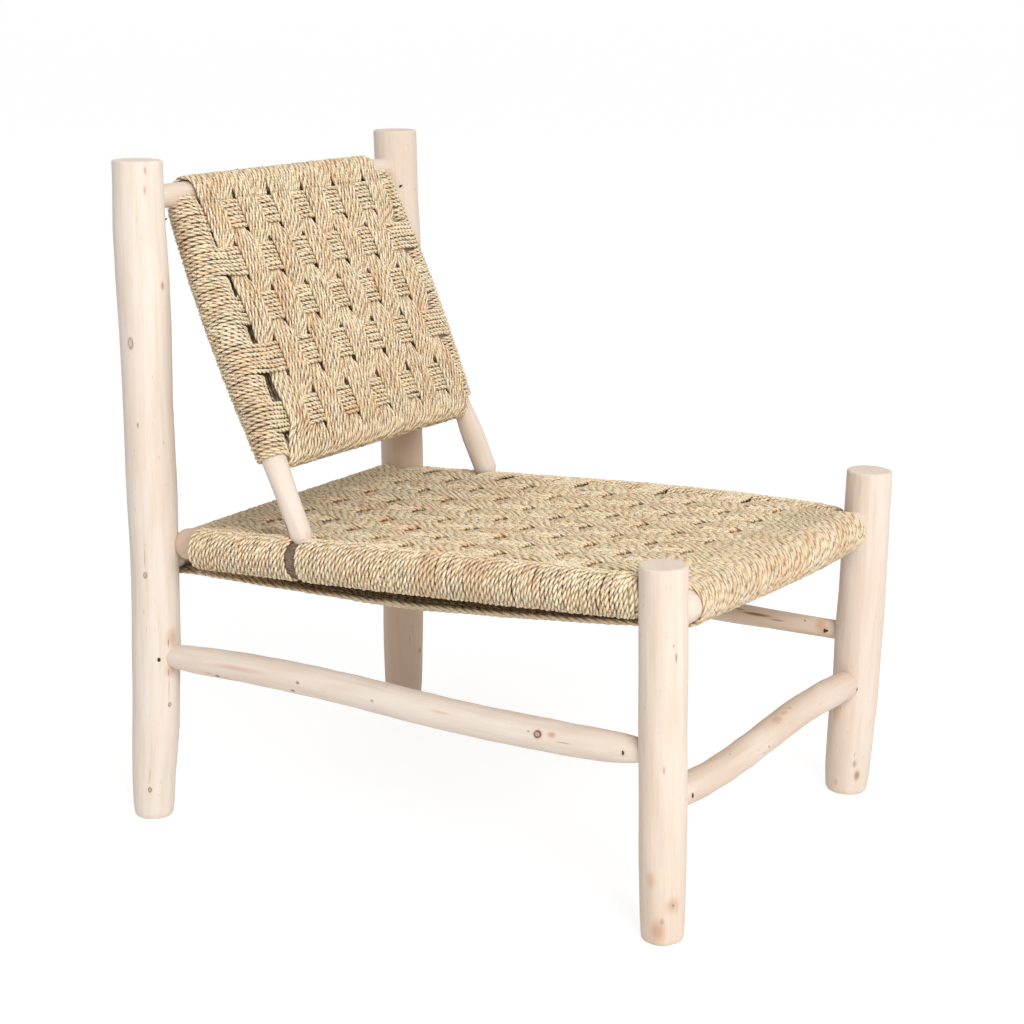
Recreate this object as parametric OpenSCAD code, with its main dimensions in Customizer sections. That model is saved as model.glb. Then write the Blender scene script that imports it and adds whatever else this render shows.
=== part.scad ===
// Low lounge chair of peeled round wood with a hand-woven palm rope seat and back.
// Eight limbs, straight or naturally bent, are let into four posts with round blind tenons.
// Two slanted stiles stand on the side rails, meet the top rail from below and carry the back.
// The rope runs in flat bands: warp bands along the seat and down the back, weft bands across.
// The front faces -Y, the sitter's right is -X, and the floor is at Z = 0.

/* [Frame] */
// Distance from the front to the rear post centres
depth = 697; // [640:5:760]
// Distance between the front post centres
front_w = 513; // [490:3:560]
// Distance between the rear post centres
rear_w = 540; // [520:5:600]
// Heights of the rear posts: right and left
rear_h = [800, 805]; // [785:1:900]
// Heights of the front posts: right and left
front_h = [416, 417]; // [410:1:470]

/* [Posts] */
// Diameters of the rear right post: foot, body and top
rear_right_d = [46, 56, 58]; // [46:1:62]
// Diameters of the rear left post: foot, body and top
rear_left_d = [48, 55, 55]; // [46:1:62]
// Diameters of the front right post: foot, body and top
front_right_d = [43, 50, 51]; // [43:1:60]
// Diameters of the front left post: foot, body and top
front_left_d = [49, 58, 53]; // [46:1:64]
// Height over which a foot tapers
foot_taper = 120; // [60:5:130]
// Rounding of a post's top edge
top_round = 4; // [1:0.5:6]
// How far the rear right post's top leans off its foot, along X and Y
rear_right_lean = [6, -7]; // [-10:1:10]
// Lean of the rear left post
rear_left_lean = [-1, 1]; // [-10:1:10]
// Lean of the front right post
front_right_lean = [-3, 5]; // [-10:1:10]
// Lean of the front left post
front_left_lean = [4, -9]; // [-10:1:10]
// Natural bow of the rear right post towards the front
rear_right_bow = 7; // [0:1:12]

/* [Rails] */
// Height of the top rail's axis
top_rail_z = 755; // [735:1:765]
// Diameters of the top rail: right, middle and left
top_rail_d = [28, 28, 27]; // [26:1:32]
// Heights of the right seat rail's axis: rear and front
right_rail_z = [346, 379]; // [340:1:384]
// Diameters of the right seat rail: rear, middle and front
right_rail_d = [37, 42, 39]; // [34:1:44]
// Heights of the left seat rail's axis: rear and front
left_rail_z = [318, 334]; // [312:1:340]
// Diameters of the left seat rail: rear, middle and front
left_rail_d = [37, 41, 37]; // [34:1:44]
// Heights of the front seat rail's axis: right and left
front_rail_z = [360, 354]; // [350:1:362]
// Diameters of the front seat rail: right, middle and left
front_rail_d = [38, 36, 33]; // [32:1:40]
// Height of the rear seat rail's axis
rear_rail_z = 324; // [318:1:326]
// Diameters of the rear seat rail: right, middle and left
rear_rail_d = [35, 36, 34]; // [32:1:38]

/* [Stretchers] */
// Heights of the right stretcher's axis: rear and front
right_stretcher_z = [209, 208]; // [190:1:230]
// Diameters of the right stretcher: rear, middle and front
right_stretcher_d = [33, 37, 35]; // [30:1:40]
// Height of the right stretcher's wave
right_stretcher_wave = 4.2; // [-8:0.2:8]
// Heights of the left stretcher's axis: rear and front
left_stretcher_z = [206, 207]; // [190:1:230]
// Diameters of the left stretcher: rear, middle and front
left_stretcher_d = [27, 28, 24]; // [24:1:32]
// Height of the left stretcher's wave
left_stretcher_wave = 1; // [-8:0.2:8]
// Heights of the front stretcher's axis: right and left
front_stretcher_z = [155, 147]; // [135:1:165]
// Diameters of the front stretcher: right, middle and left
front_stretcher_d = [34, 35, 37]; // [32:1:40]
// Height of the front stretcher's wave
front_stretcher_wave = -5; // [-8:0.2:8]

/* [Back] */
// Distance of the right stile's top from the middle of the top rail
right_stile_top = 192; // [180:1:200]
// Distance of the left stile's top from the middle of the top rail
left_stile_top = 215; // [205:1:218]
// Weft bands of the seat in front of each stile's foot: right and left
stile_after = [7, 8]; // [5:1:8]
// Diameters of the right stile: foot, middle and top
right_stile_d = [27, 30, 27]; // [24:1:38]
// Diameters of the left stile: foot, middle and top
left_stile_d = [23, 26, 26]; // [22:1:38]
// Share of each stile, from its top, at which the lower crossbar sits: right and left
crossbar_at = [0.72, 0.72]; // [0.69:0.005:0.74]
// Diameter of the lower crossbar
crossbar_d = 30; // [26:1:32]

/* [Joints] */
// Diameter of a seat rail's tenon
rail_tenon_d = 22; // [18:0.5:23]
// Depth of a seat rail's tenon in its post
rail_tenon_l = 15; // [12:0.5:16]
// Diameter of a stretcher's tenon
stretcher_tenon_d = 22; // [16:0.5:23]
// Depth of a stretcher's or the top rail's tenon
tenon_l = 18; // [14:0.5:20]
// Diameter of the tenons on the stiles and the crossbar
stile_tenon_d = 14; // [10:0.5:15]
// Depth of the tenons on the stiles and the crossbar
stile_tenon_l = 9; // [7:0.5:10]
// Width of the shoulder round a rail's or a stretcher's tenon
shoulder = 0.6; // [0.5:0.1:1]
// Clearance of a tenon in its mortise, all round
tenon_fit = 0.15; // [0.05:0.05:0.3]
// Room left at the end of a mortise
mortise_room = 1; // [0.5:0.5:2]
// Length over which a rail's end is whittled down to its tenon
rail_whittle = 12; // [8:1:16]
// Length over which the right stretcher's ends are whittled
stretcher_whittle = 70; // [40:5:90]
// Length over which a stile's foot is whittled
stile_whittle = 60; // [40:5:80]
// Diameter of a nail's shank
nail_d = 2.6; // [2:0.2:3.4]
// Length of a nail
nail_l = 34; // [24:1:36]
// Diameter of a nail's head
nail_head_d = 5.6; // [4.5:0.1:7]

/* [Rope] */
// Diameter of the palm rope, which is the thickness of a woven band
rope_d = 5.2; // [4.6:0.1:5.4]
// Width of a weft band
weft_w = 36.4; // [32:0.4:37.2]
// Gap kept between the rope and what it lies on
rope_gap = 0.4; // [0.3:0.05:0.6]
// Gap between two warp bands where the weft dives between them
band_gap = 3.5; // [3:0.1:5]
// How much wider a warp band lies on top than it is between the woven rows
band_bulge = 6; // [3:0.5:8]
// Gap between two warp bands where they turn round a rail
turn_gap = 0.8; // [0.6:0.1:1.5]
// Bare ends of the front rail beside its posts: right and left
front_bare = [24, 30]; // [4:1:32]
// Bare ends of the rear rail beside its posts
rear_bare = 4; // [2:0.5:12]
// Warp bands across the seat
seat_cols = 13; // [9:2:15]
// Weft bands along the seat
seat_rows = 10; // [9:1:10]
// Middle of the first weft band behind the front posts' centres: right and left
first_row = [64, 98]; // [60:1:100]
// Middle of the last weft band before the rear posts' centres: right and left
last_row = [67, 50]; // [50:1:80]
// How far the seat sags below the lines between its rails
seat_sag = 9; // [0:1:14]
// How far the lower warp layer sags
under_sag = 8; // [2:1:12]
// Where the turns on the side rails stop, from the front and the rear posts' centres
wrap_stop = [31, 46]; // [31:1:48]
// Warp bands across the back
back_cols = 11; // [7:2:13]
// Middles of the back's weft bands, as shares of the panel's length from its top
back_rows = [0.117, 0.295, 0.48, 0.667, 0.883]; // [0.11:0.001:0.885]
// Gap between the warp's edge and a stile's rope turns at the top rail: right and left
back_gap_top = [-8, 7]; // [-8:1:12]
// Gap between the warp's edge and a stile's rope turns at the crossbar: right and left
back_gap_foot = [14, 2]; // [1:1:20]
// Where the turns on the stiles start and stop, as shares of the panel's length
stile_wrap = [0.05, 0.94]; // [0.05:0.01:0.95]

/* [Hidden] */

WOOD = [0.93, 0.87, 0.79];
BARK = [0.42, 0.32, 0.25];
ROPE = [0.82, 0.72, 0.53];
STEEL = [0.25, 0.22, 0.20];
UP = [0, 0, 1];
RIGHT = 0;
LEFT = 1;
// Facets of the turned limbs and of the bores
TURNED_FN = 64;
BORE_FN = 48;

function lerp(a, b, t) = a + (b - a) * t;
function unit(v) = v / norm(v);
// A value that runs through three given ones: at the start, the middle and the end
function through(d, t) = d[0] * (1 - t) * (1 - 2 * t) + 4 * d[1] * t * (1 - t) + d[2] * t * (2 * t - 1);
// A rounded nose: 0 at the very end, 1 where the whittled length is over
function nose(e) = e >= 1 ? 1 : e <= 0 ? 0 : sqrt(1 - (1 - e) * (1 - e));
function outward(side) = side == RIGHT ? [-1, 0, 0] : [1, 0, 0];

// Posts: rear right, rear left, front right, front left

RR = 0;
RL = 1;
FR = 2;
FL = 3;
POST_SIDES = 24;
TAPER_STEPS = 4;
POST_STEPS = 4;
POST_H = concat(rear_h, front_h);
POST_D = [rear_right_d, rear_left_d, front_right_d, front_left_d];
POST_LEAN = [rear_right_lean, rear_left_lean, front_right_lean, front_left_lean];
POST_BOW = [rear_right_bow, 0, 0, 0];
POST_FOOT = [[-rear_w / 2, depth / 2], [rear_w / 2, depth / 2],
    [-front_w / 2, -depth / 2], [front_w / 2, -depth / 2]];

// A post's axis before the whole chair is centred, and its radius, at a height
function raw_xy(p, z) = let (t = z / POST_H[p])
    POST_FOOT[p] + POST_LEAN[p] * t - [0, POST_BOW[p]] * sin(180 * t);
function post_r(p, z) = let (d = POST_D[p], e = z / foot_taper)
    (e < 1 ? lerp(d[0], d[1], nose(e)) : lerp(d[1], d[2], (z - foot_taper) / (POST_H[p] - foot_taper))) / 2;
// Height above which the top edge is rounded, and the radius of a ring there
function edge_z(p) = POST_H[p] - top_round;
function ring_r(p, z) = post_r(p, z) - top_round * (1 - nose(1 - max(0, z - edge_z(p)) / top_round)) * 0.7;
// Heights of a post's rings, close together where the foot tapers and the top is rounded
function ring_zs(p) = concat([for (i = [0 : TAPER_STEPS - 1]) foot_taper * pow(i / TAPER_STEPS, 1.6)],
    [for (i = [0 : POST_STEPS]) lerp(foot_taper, edge_z(p), i / POST_STEPS)],
    [edge_z(p) + top_round * 0.7, POST_H[p]]);

// How far the posts reach from the origin along a direction, which centres the chair's box
function reach(posts, dir) = max([for (p = posts, z = ring_zs(p)) raw_xy(p, z) * dir + ring_r(p, z)]);
CENTRE = [reach([RL, FL], [1, 0]) - reach([RR, FR], [-1, 0]),
    reach([RR, RL], [0, 1]) - reach([FR, FL], [0, -1])] / 2;
function post_at(p, z) = concat(raw_xy(p, z) - CENTRE, [z]);

// A closed solid through rings of points, each counterclockwise round the way to the next ring
module loft(rings) {
    n = len(rings[0]);
    m = len(rings);
    sides = [for (k = [0 : m - 2], i = [0 : n - 1], h = [0, 1])
        let (a = k * n + i, b = k * n + (i + 1) % n)
            h == 0 ? [a, a + n, b] : [b, a + n, b + n]];
    ends = [for (i = [1 : n - 2], h = [0, 1])
        h == 0 ? [0, i, i + 1] : [(m - 1) * n, (m - 1) * n + i + 1, (m - 1) * n + i]];
    polyhedron(points = [for (r = rings, q = r) q], faces = concat(sides, ends));
}

module post_body(p) {
    loft([for (z = ring_zs(p))
        [for (i = [0 : POST_SIDES - 1])
            post_at(p, z) + ring_r(p, z) * [cos(360 * i / POST_SIDES), sin(360 * i / POST_SIDES), 0]]]);
}

module post(p) {
    color(WOOD)
        difference() {
            post_body(p);
            for (m = LIMBS) {
                if (m[0] == p) mortise(m, limb_start(m), -limb_dir(m));
                if (m[2] == p) mortise(m, limb_end(m), limb_dir(m));
            }
            nails(NAIL_FIT);
        }
}

// Limbs between two posts: [from post, height, to post, height, three diameters,
// whittled length, tenon diameter, tenon depth, height of the wave]

TOP_RAIL = [RR, top_rail_z, RL, top_rail_z, top_rail_d, rail_whittle, top_rail_d[2] - 3, tenon_l, 0];
FRONT_RAIL = [FR, front_rail_z[0], FL, front_rail_z[1], front_rail_d, rail_whittle,
    rail_tenon_d, rail_tenon_l, 0];
REAR_RAIL = [RR, rear_rail_z, RL, rear_rail_z, rear_rail_d, rail_whittle, rail_tenon_d, rail_tenon_l, 0];
RIGHT_RAIL = [RR, right_rail_z[0], FR, right_rail_z[1], right_rail_d, rail_whittle,
    rail_tenon_d, rail_tenon_l, 0];
LEFT_RAIL = [RL, left_rail_z[0], FL, left_rail_z[1], left_rail_d, rail_whittle,
    rail_tenon_d, rail_tenon_l, 0];
RIGHT_STRETCHER = [RR, right_stretcher_z[0], FR, right_stretcher_z[1], right_stretcher_d,
    stretcher_whittle, stretcher_tenon_d, tenon_l, right_stretcher_wave];
LEFT_STRETCHER = [RL, left_stretcher_z[0], FL, left_stretcher_z[1], left_stretcher_d,
    rail_whittle, stretcher_tenon_d, tenon_l, left_stretcher_wave];
FRONT_STRETCHER = [FR, front_stretcher_z[0], FL, front_stretcher_z[1], front_stretcher_d,
    rail_whittle, stretcher_tenon_d, tenon_l, front_stretcher_wave];
LIMBS = [TOP_RAIL, FRONT_RAIL, REAR_RAIL, RIGHT_RAIL, LEFT_RAIL, RIGHT_STRETCHER, LEFT_STRETCHER,
    FRONT_STRETCHER];
SIDE_RAIL = [RIGHT_RAIL, LEFT_RAIL];

// The limb's body runs from the surface of its first post to that of its second
function limb_dir(m) = unit(post_at(m[2], m[3]) - post_at(m[0], m[1]));
function limb_start(m) = post_at(m[0], m[1]) + limb_dir(m) * post_r(m[0], m[1]);
function limb_end(m) = post_at(m[2], m[3]) - limb_dir(m) * post_r(m[2], m[3]);
function limb_len(m) = norm(limb_end(m) - limb_start(m));
function limb_point(m, t) = lerp(limb_start(m), limb_end(m), t);
// Radius at a distance from the start
function limb_r(m, s) = let (l = limb_len(m))
    lerp(m[6] + 2 * shoulder, through(m[4], s / l), nose(min(s, l - s) / m[5])) / 2;

// Shares along a limb at which its outline has a point, dense where the ends are whittled
NOSE_STEPS = 4;
BODY_STEPS = 6;
function outline_at(a, b, w0, w1) = concat(
    [for (i = [0 : NOSE_STEPS - 1]) a + w0 * pow(i / NOSE_STEPS, 1.5)],
    [for (i = [0 : BODY_STEPS]) lerp(a + w0, b - w1, i / BODY_STEPS)],
    [for (i = [NOSE_STEPS - 1 : -1 : 0]) b - w1 * pow(i / NOSE_STEPS, 1.5)]);
function limb_outline(m, room = 0) = let (l = limb_len(m))
    concat([[0, 0]], [for (s = outline_at(0, l, m[5], m[5])) [limb_r(m, s) + room, s]], [[0, l]]);

// Turns +Z to a direction and moves the origin to a point
module along(at, dir) {
    d = unit(dir);
    translate(at)
        rotate([0, acos(d.z), atan2(d.y, d.x)])
            children();
}

// A round tongue or bore that starts a little way back inside its limb
module peg(at, dir, back, l, d) {
    along(at - unit(dir) * back, dir)
        cylinder(h = back + l, d = d, $fn = BORE_FN);
}

module tenons(m) {
    peg(limb_start(m), -limb_dir(m), m[5] / 2, m[7], m[6]);
    peg(limb_end(m), limb_dir(m), m[5] / 2, m[7], m[6]);
}

module mortise(m, at, dir) {
    peg(at, dir, m[5] / 2, m[7] + mortise_room, m[6] + 2 * tenon_fit);
}

module turned(m, room = 0) {
    along(limb_start(m), limb_dir(m))
        rotate_extrude($fn = TURNED_FN)
            polygon(limb_outline(m, room));
}

// A rail, with the mortises of the stiles that meet it
module rail(m, sides, tint = WOOD) {
    color(tint)
        difference() {
            union() {
                turned(m);
                tenons(m);
            }
            for (side = sides) stile_pegs(side, tenon_fit, mortise_room);
            if (m == TOP_RAIL) nails(NAIL_FIT);
        }
}

// A stretcher rises and falls by one full wave along its length
LIMB_SIDES = 18;
module stretcher(m) {
    out = unit(cross(UP, limb_dir(m)));
    top = cross(limb_dir(m), out);
    l = limb_len(m);
    color(WOOD)
        difference() {
            union() {
                loft([for (s = outline_at(0, l, m[5], m[5]))
                    let (c = limb_point(m, s / l) + top * m[8] * sin(360 * s / l))
                        [for (i = [0 : LIMB_SIDES - 1])
                            let (a = 360 * i / LIMB_SIDES)
                                c + limb_r(m, s) * (cos(a) * out + sin(a) * top)]]);
                tenons(m);
            }
            nails(NAIL_FIT);
        }
}

// Points and radii of a side rail at a depth, and of an end rail at a width

function depth_share(m, y) = (limb_start(m).y - y) / (limb_start(m).y - limb_end(m).y);
function side_at(m, y) = limb_point(m, depth_share(m, y));
function side_r(m, y) = limb_r(m, limb_len(m) * depth_share(m, y));
function width_share(m, x) = (x - limb_start(m).x) / (limb_end(m).x - limb_start(m).x);
function cross_at(m, x) = limb_point(m, width_share(m, x));
function cross_r(m, x) = limb_r(m, limb_len(m) * width_share(m, x));

// Stiles: each stands between two weft bands of the seat and meets the top rail from below

function stile_top(side) = cross_at(TOP_RAIL, side == RIGHT ? -right_stile_top : left_stile_top);
function stile_d(side) = side == RIGHT ? right_stile_d : left_stile_d;
// Middle of the gap between two weft bands, and the point of the rail's axis under the foot
function foot_y(side) = row_y(stile_after[side] - 0.5, face_edge[side]);
function stile_foot(side) = let (m = SIDE_RAIL[side], y = foot_y(side), c = side_at(m, y))
    side_at(m, y - (side_r(m, y) + wrap_mid) * (stile_top(side).y - y) / (stile_top(side).z - c.z));
function stile_dir(side) = unit(stile_top(side) - stile_foot(side));
function stile_span(side) = norm(stile_top(side) - stile_foot(side));
stile_neck = stile_tenon_d + 3;
// Distance from a round rail's axis at which the end of a slanted stile lies within its surface
function seat_in(r, neck, sine) = (sqrt(r * r - neck * neck) - neck * sine) / sqrt(1 - sine * sine);
function stile_sine(side, m) = abs(stile_dir(side) * limb_dir(m));
function stile_from(side) = let (m = SIDE_RAIL[side])
    seat_in(side_r(m, stile_foot(side).y), stile_neck / 2, stile_sine(side, m));
function stile_to(side) = stile_span(side)
    - seat_in(cross_r(TOP_RAIL, stile_top(side).x), stile_neck / 2, stile_sine(side, TOP_RAIL));
// Radius at a distance from the side rail's axis
function stile_r(side, s) = let (a = stile_from(side), b = stile_to(side))
    lerp(stile_neck, through(stile_d(side), (s - a) / (b - a)),
        min(pow(max(0, s - a) / stile_whittle, 0.8), nose((b - s) / rail_whittle), 1)) / 2;
// Radius at a share of the way from the top rail's axis down to the side rail's
function stile_r_at(side, v) = stile_r(side, (1 - v) * stile_span(side));

module stile_pegs(side, fit, room) {
    foot = stile_foot(side) + stile_dir(side) * stile_from(side);
    head = stile_foot(side) + stile_dir(side) * stile_to(side);
    peg(foot, -stile_dir(side), rail_whittle, stile_tenon_l + room, stile_tenon_d + 2 * fit);
    peg(head, stile_dir(side), rail_whittle, stile_tenon_l + room, stile_tenon_d + 2 * fit);
}

module stile_body(side, room = 0) {
    a = stile_from(side);
    b = stile_to(side);
    along(stile_foot(side), stile_dir(side))
        rotate_extrude($fn = TURNED_FN)
            polygon(concat([[0, a]],
                [for (s = outline_at(a, b, stile_whittle, rail_whittle)) [stile_r(side, s) + room, s]],
                [[0, b]]));
}

// The ends of a stile are coped over the rails, with a hair of room, round their tenons
COPE_ROOM = 0.1;
module stile(side) {
    color(WOOD)
        difference() {
            union() {
                difference() {
                    stile_body(side);
                    turned(SIDE_RAIL[side], COPE_ROOM);
                    turned(TOP_RAIL, COPE_ROOM);
                }
                stile_pegs(side, 0, 0);
            }
            crossbar_peg(side, tenon_fit, mortise_room);
        }
}

// Lower crossbar of the back, coped over both stiles round its tenons

function bar_end(side) = lerp(stile_top(side), stile_foot(side), crossbar_at[side]);
function bar_dir() = unit(bar_end(LEFT) - bar_end(RIGHT));
function bar_inset(side) = stile_r_at(side, crossbar_at[side]);

module crossbar_peg(side, fit, room) {
    out = side == RIGHT ? -bar_dir() : bar_dir();
    peg(bar_end(side) - out * bar_inset(side), out, rail_whittle,
        stile_tenon_l + room, stile_tenon_d + 2 * fit);
}

bar_neck = stile_tenon_d + 2 * shoulder;

module back_crossbar() {
    l = norm(bar_end(LEFT) - bar_end(RIGHT)) - bar_inset(LEFT) - bar_inset(RIGHT);
    color(WOOD)
        union() {
            difference() {
                along(bar_end(RIGHT) + bar_dir() * bar_inset(RIGHT), bar_dir())
                    rotate_extrude($fn = TURNED_FN)
                        polygon(concat([[0, 0]],
                            [for (s = outline_at(0, l, rail_whittle, rail_whittle))
                                [lerp(bar_neck, crossbar_d, nose(min(s, l - s) / rail_whittle)) / 2, s]],
                            [[0, l]]));
                for (side = [RIGHT, LEFT]) stile_body(side, COPE_ROOM);
            }
            for (side = [RIGHT, LEFT]) crossbar_peg(side, 0, 0);
        }
}

// Nails: [limb, end, distance from the post, height], driven from the side that faces -X or -Y.
// At distance 0 the nail goes through the post into the tenon, otherwise through the limb's end.

FROM_POST = 0;
NAIL_FIT = 0.05;
NAIL_HEAD_H = 1.2;
NAIL_TURN = 45;
NAILS = [[RIGHT_STRETCHER, 0, FROM_POST, 0], [RIGHT_STRETCHER, 1, 14, 0],
    [LEFT_STRETCHER, 0, 12, 0], [LEFT_STRETCHER, 1, 12, 0],
    [FRONT_STRETCHER, 0, 12, 0], [FRONT_STRETCHER, 1, 12, 0],
    [TOP_RAIL, 0, FROM_POST, -24], [TOP_RAIL, 1, FROM_POST, -24]];

module nail(from, to, fit) {
    along(from, to - from) {
        cylinder(h = nail_l, d = nail_d + 2 * fit, $fn = 24);
        translate([0, 0, -NAIL_HEAD_H / 2 - fit])
            cylinder(h = NAIL_HEAD_H + 2 * fit, d = nail_head_d + 2 * fit, $fn = 24);
    }
}

module nails(fit) {
    for (n = NAILS) {
        m = n[0];
        p = n[1] == 0 ? m[0] : m[2];
        // Way from the post into the limb, and the side that the nail comes from
        way = n[1] == 0 ? limb_dir(m) : -limb_dir(m);
        side = -unit(cross(UP, limb_dir(m)));
        joint = n[1] == 0 ? limb_start(m) : limb_end(m);
        if (n[2] == FROM_POST)
            nail(post_at(p, joint.z + n[3])
                    + post_r(p, joint.z) * (cos(NAIL_TURN) * way + sin(NAIL_TURN) * side),
                joint - way * m[7] / 2, fit);
        else
            nail(joint + way * n[2] + side * limb_r(m, n[2]),
                joint - way * m[7] / 2 - side * m[6] / 4, fit);
    }
}

// Rope bands: closed belts that go round two rails and interlace on the face

// Four corners of a band: its inner and outer points at both edges
function station(a, b, face) = let (h = face * rope_d / 2) [a - h, a + h, b + h, b - h];

module belt(stations) {
    n = len(stations);
    faces = [for (k = [0 : n - 1], i = [0 : 3], h = [0, 1])
        let (j = (i + 1) % 4, next = 4 * ((k + 1) % n),
            a = 4 * k + i, b = 4 * k + j, c = next + i, d = next + j)
            h == 0 ? [a, b, c] : [b, d, c]];
    polyhedron(points = [for (s = stations, q = s) q], faces = faces);
}

// Angle at which a band leaves a round rail straight towards a point, from the way out to the face
function leave(p, c, r, out, face) = let (d = p - face * rope_d / 2 - c, o = d * out, f = d * face)
    (atan2(f, o) + 360) % 360 - acos(min(1, (r + rope_gap) / norm([o, f])));

// Stations of a band round a rail, which touch it between them and where the band comes and goes;
// the band's edges have their own centres and radii
TURN_STEPS = 5;
function turn(a, b, ra, rb, out, face, from, to) = let (step = (to - from) / TURN_STEPS)
    [for (i = [-0.5 : 1 : TURN_STEPS + 0.5])
        let (n = min(max(i, 0), TURN_STEPS), angle = from + n * step, k = n == i ? 1 / cos(step / 2) : 1,
            dir = out * cos(angle) + face * sin(angle),
            in_a = (ra + rope_gap) * k, in_b = (rb + rope_gap) * k)
            [a + dir * in_a, a + dir * (in_a + rope_d), b + dir * (in_b + rope_d), b + dir * in_b]];

// Room between the turns on a limb and the weft bands, which leave it a little askew
ROW_ROOM = 2;

// The part of a direction that is square to a limb
function square_to(limb, dir) = unit(dir - limb * (limb * dir));

// Middle of a band that lies on a rail, from the rail's surface, and its outside
wrap_mid = rope_gap + rope_d / 2;
wrap_outer = rope_gap + rope_d;
// How far two crossing bands lie above and below the middle of the weave
lift = (rope_d + rope_gap) / 2;
// The weft lies on top in every other square
function weft_over(col, row) = (col + row) % 2 == 1;
function offset_of(over) = over ? lift : -lift;
function half_w(pitch, over) = (pitch - band_gap + (over ? band_bulge : -band_bulge)) / 2;

// A tube of turns round a limb's outline, between two distances
module sleeve(at, dir, outline) {
    along(at, dir)
        rotate_extrude($fn = TURNED_FN)
            polygon(concat([for (q = outline) [q[0] + rope_gap, q[1]]],
                [for (i = [len(outline) - 1 : -1 : 0]) [outline[i][0] + wrap_outer, outline[i][1]]]));
}

// Seat

// Edges of the warp: between the side rails on the face, and between the posts on the end rails
face_edge = [limb_end(RIGHT_RAIL).x + right_rail_d[2] / 2 + wrap_outer,
    limb_end(LEFT_RAIL).x - left_rail_d[2] / 2 - wrap_outer];
function end_edge(m) = let (bare = m == FRONT_RAIL ? front_bare : [rear_bare, rear_bare])
    [limb_start(m).x + bare[0], limb_end(m).x - bare[1]];
function col_at(edges, k) = lerp(edges[0], edges[1], k / seat_cols);
face_pitch = (face_edge[1] - face_edge[0]) / seat_cols;
function seat_u(x) = (x - face_edge[0]) / (face_edge[1] - face_edge[0]);
front_y = post_at(FR, front_rail_z[0]).y;
rear_y = post_at(RR, rear_rail_z).y;
function seat_v(y) = (y - front_y) / (rear_y - front_y);
function row_y(row, x) = lerp(front_y + lerp(first_row[0], first_row[1], seat_u(x)),
    rear_y - lerp(last_row[0], last_row[1], seat_u(x)), row / (seat_rows - 1));

// The woven face spans the four wrapped rails and sags in the middle
function side_top(m, y) = side_at(m, y).z + side_r(m, y) + wrap_mid;
function end_top(m, x) = cross_at(m, x).z + cross_r(m, x) + wrap_mid;
function corner_z(side, end, y) = (side_top(SIDE_RAIL[side], y) + end_top(end, face_edge[side])) / 2;
CORNER_IN = 40;
CORNER = [for (side = [RIGHT, LEFT])
    [corner_z(side, FRONT_RAIL, front_y + CORNER_IN), corner_z(side, REAR_RAIL, rear_y - CORNER_IN)]];
function seat_z(x, y) = let (u = seat_u(x), v = seat_v(y))
    lerp(end_top(FRONT_RAIL, x), end_top(REAR_RAIL, x), v)
    + lerp(side_top(RIGHT_RAIL, y), side_top(LEFT_RAIL, y), u)
    - lerp(lerp(CORNER[0][0], CORNER[1][0], u), lerp(CORNER[0][1], CORNER[1][1], u), v)
    - seat_sag * sin(180 * u) * sin(180 * v);
function face_point(row, x, end, over) = let (y = row_y(row, x) + end * weft_w / 2)
    [x, y, seat_z(x, y) + offset_of(over)];

// Lower warp layer, and the weft's return run that lies on it
function lower_x(k, y) = lerp(col_at(end_edge(FRONT_RAIL), k), col_at(end_edge(REAR_RAIL), k), seat_v(y));
function end_foot(m, x) = cross_at(m, x).z - warp_r(m, x) - wrap_mid;
function lower_point(k, y) = let (x = lower_x(k, y), v = seat_v(y))
    [x, y, lerp(end_foot(FRONT_RAIL, x), end_foot(REAR_RAIL, x), v) - under_sag * sin(180 * v)];
function return_point(side, y) = let (p = lower_point(side * seat_cols, y), m = SIDE_RAIL[side])
    [p.x, y, max(p.z + rope_d + 3 * rope_gap, side_at(m, y).z - side_r(m, y) - wrap_mid)];

LOWER_STEPS = 5;
function warp_side(col, edge, over) = col_at(face_edge, col + 0.5) + edge * half_w(face_pitch, over);
// Radius of an end rail under the warp, which doesn't follow the whittled ends
function warp_r(m, x) = cross_r(m, min(max(x, limb_start(m).x + m[5]), limb_end(m).x - m[5]));
function warp_half(m) = let (e = end_edge(m)) (e[1] - e[0]) / seat_cols / 2 - turn_gap / 2;
function warp_turn(m, col, out, from, to) = let (x = col_at(end_edge(m), col + 0.5),
        a = x + warp_half(m), b = x - warp_half(m))
    turn(cross_at(m, a), cross_at(m, b), warp_r(m, a), warp_r(m, b), out, UP, from, to);
function warp_leave(m, col, out, p, face) = let (x = col_at(end_edge(m), col + 0.5))
    leave(p, cross_at(m, x), warp_r(m, x), out, face);

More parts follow.
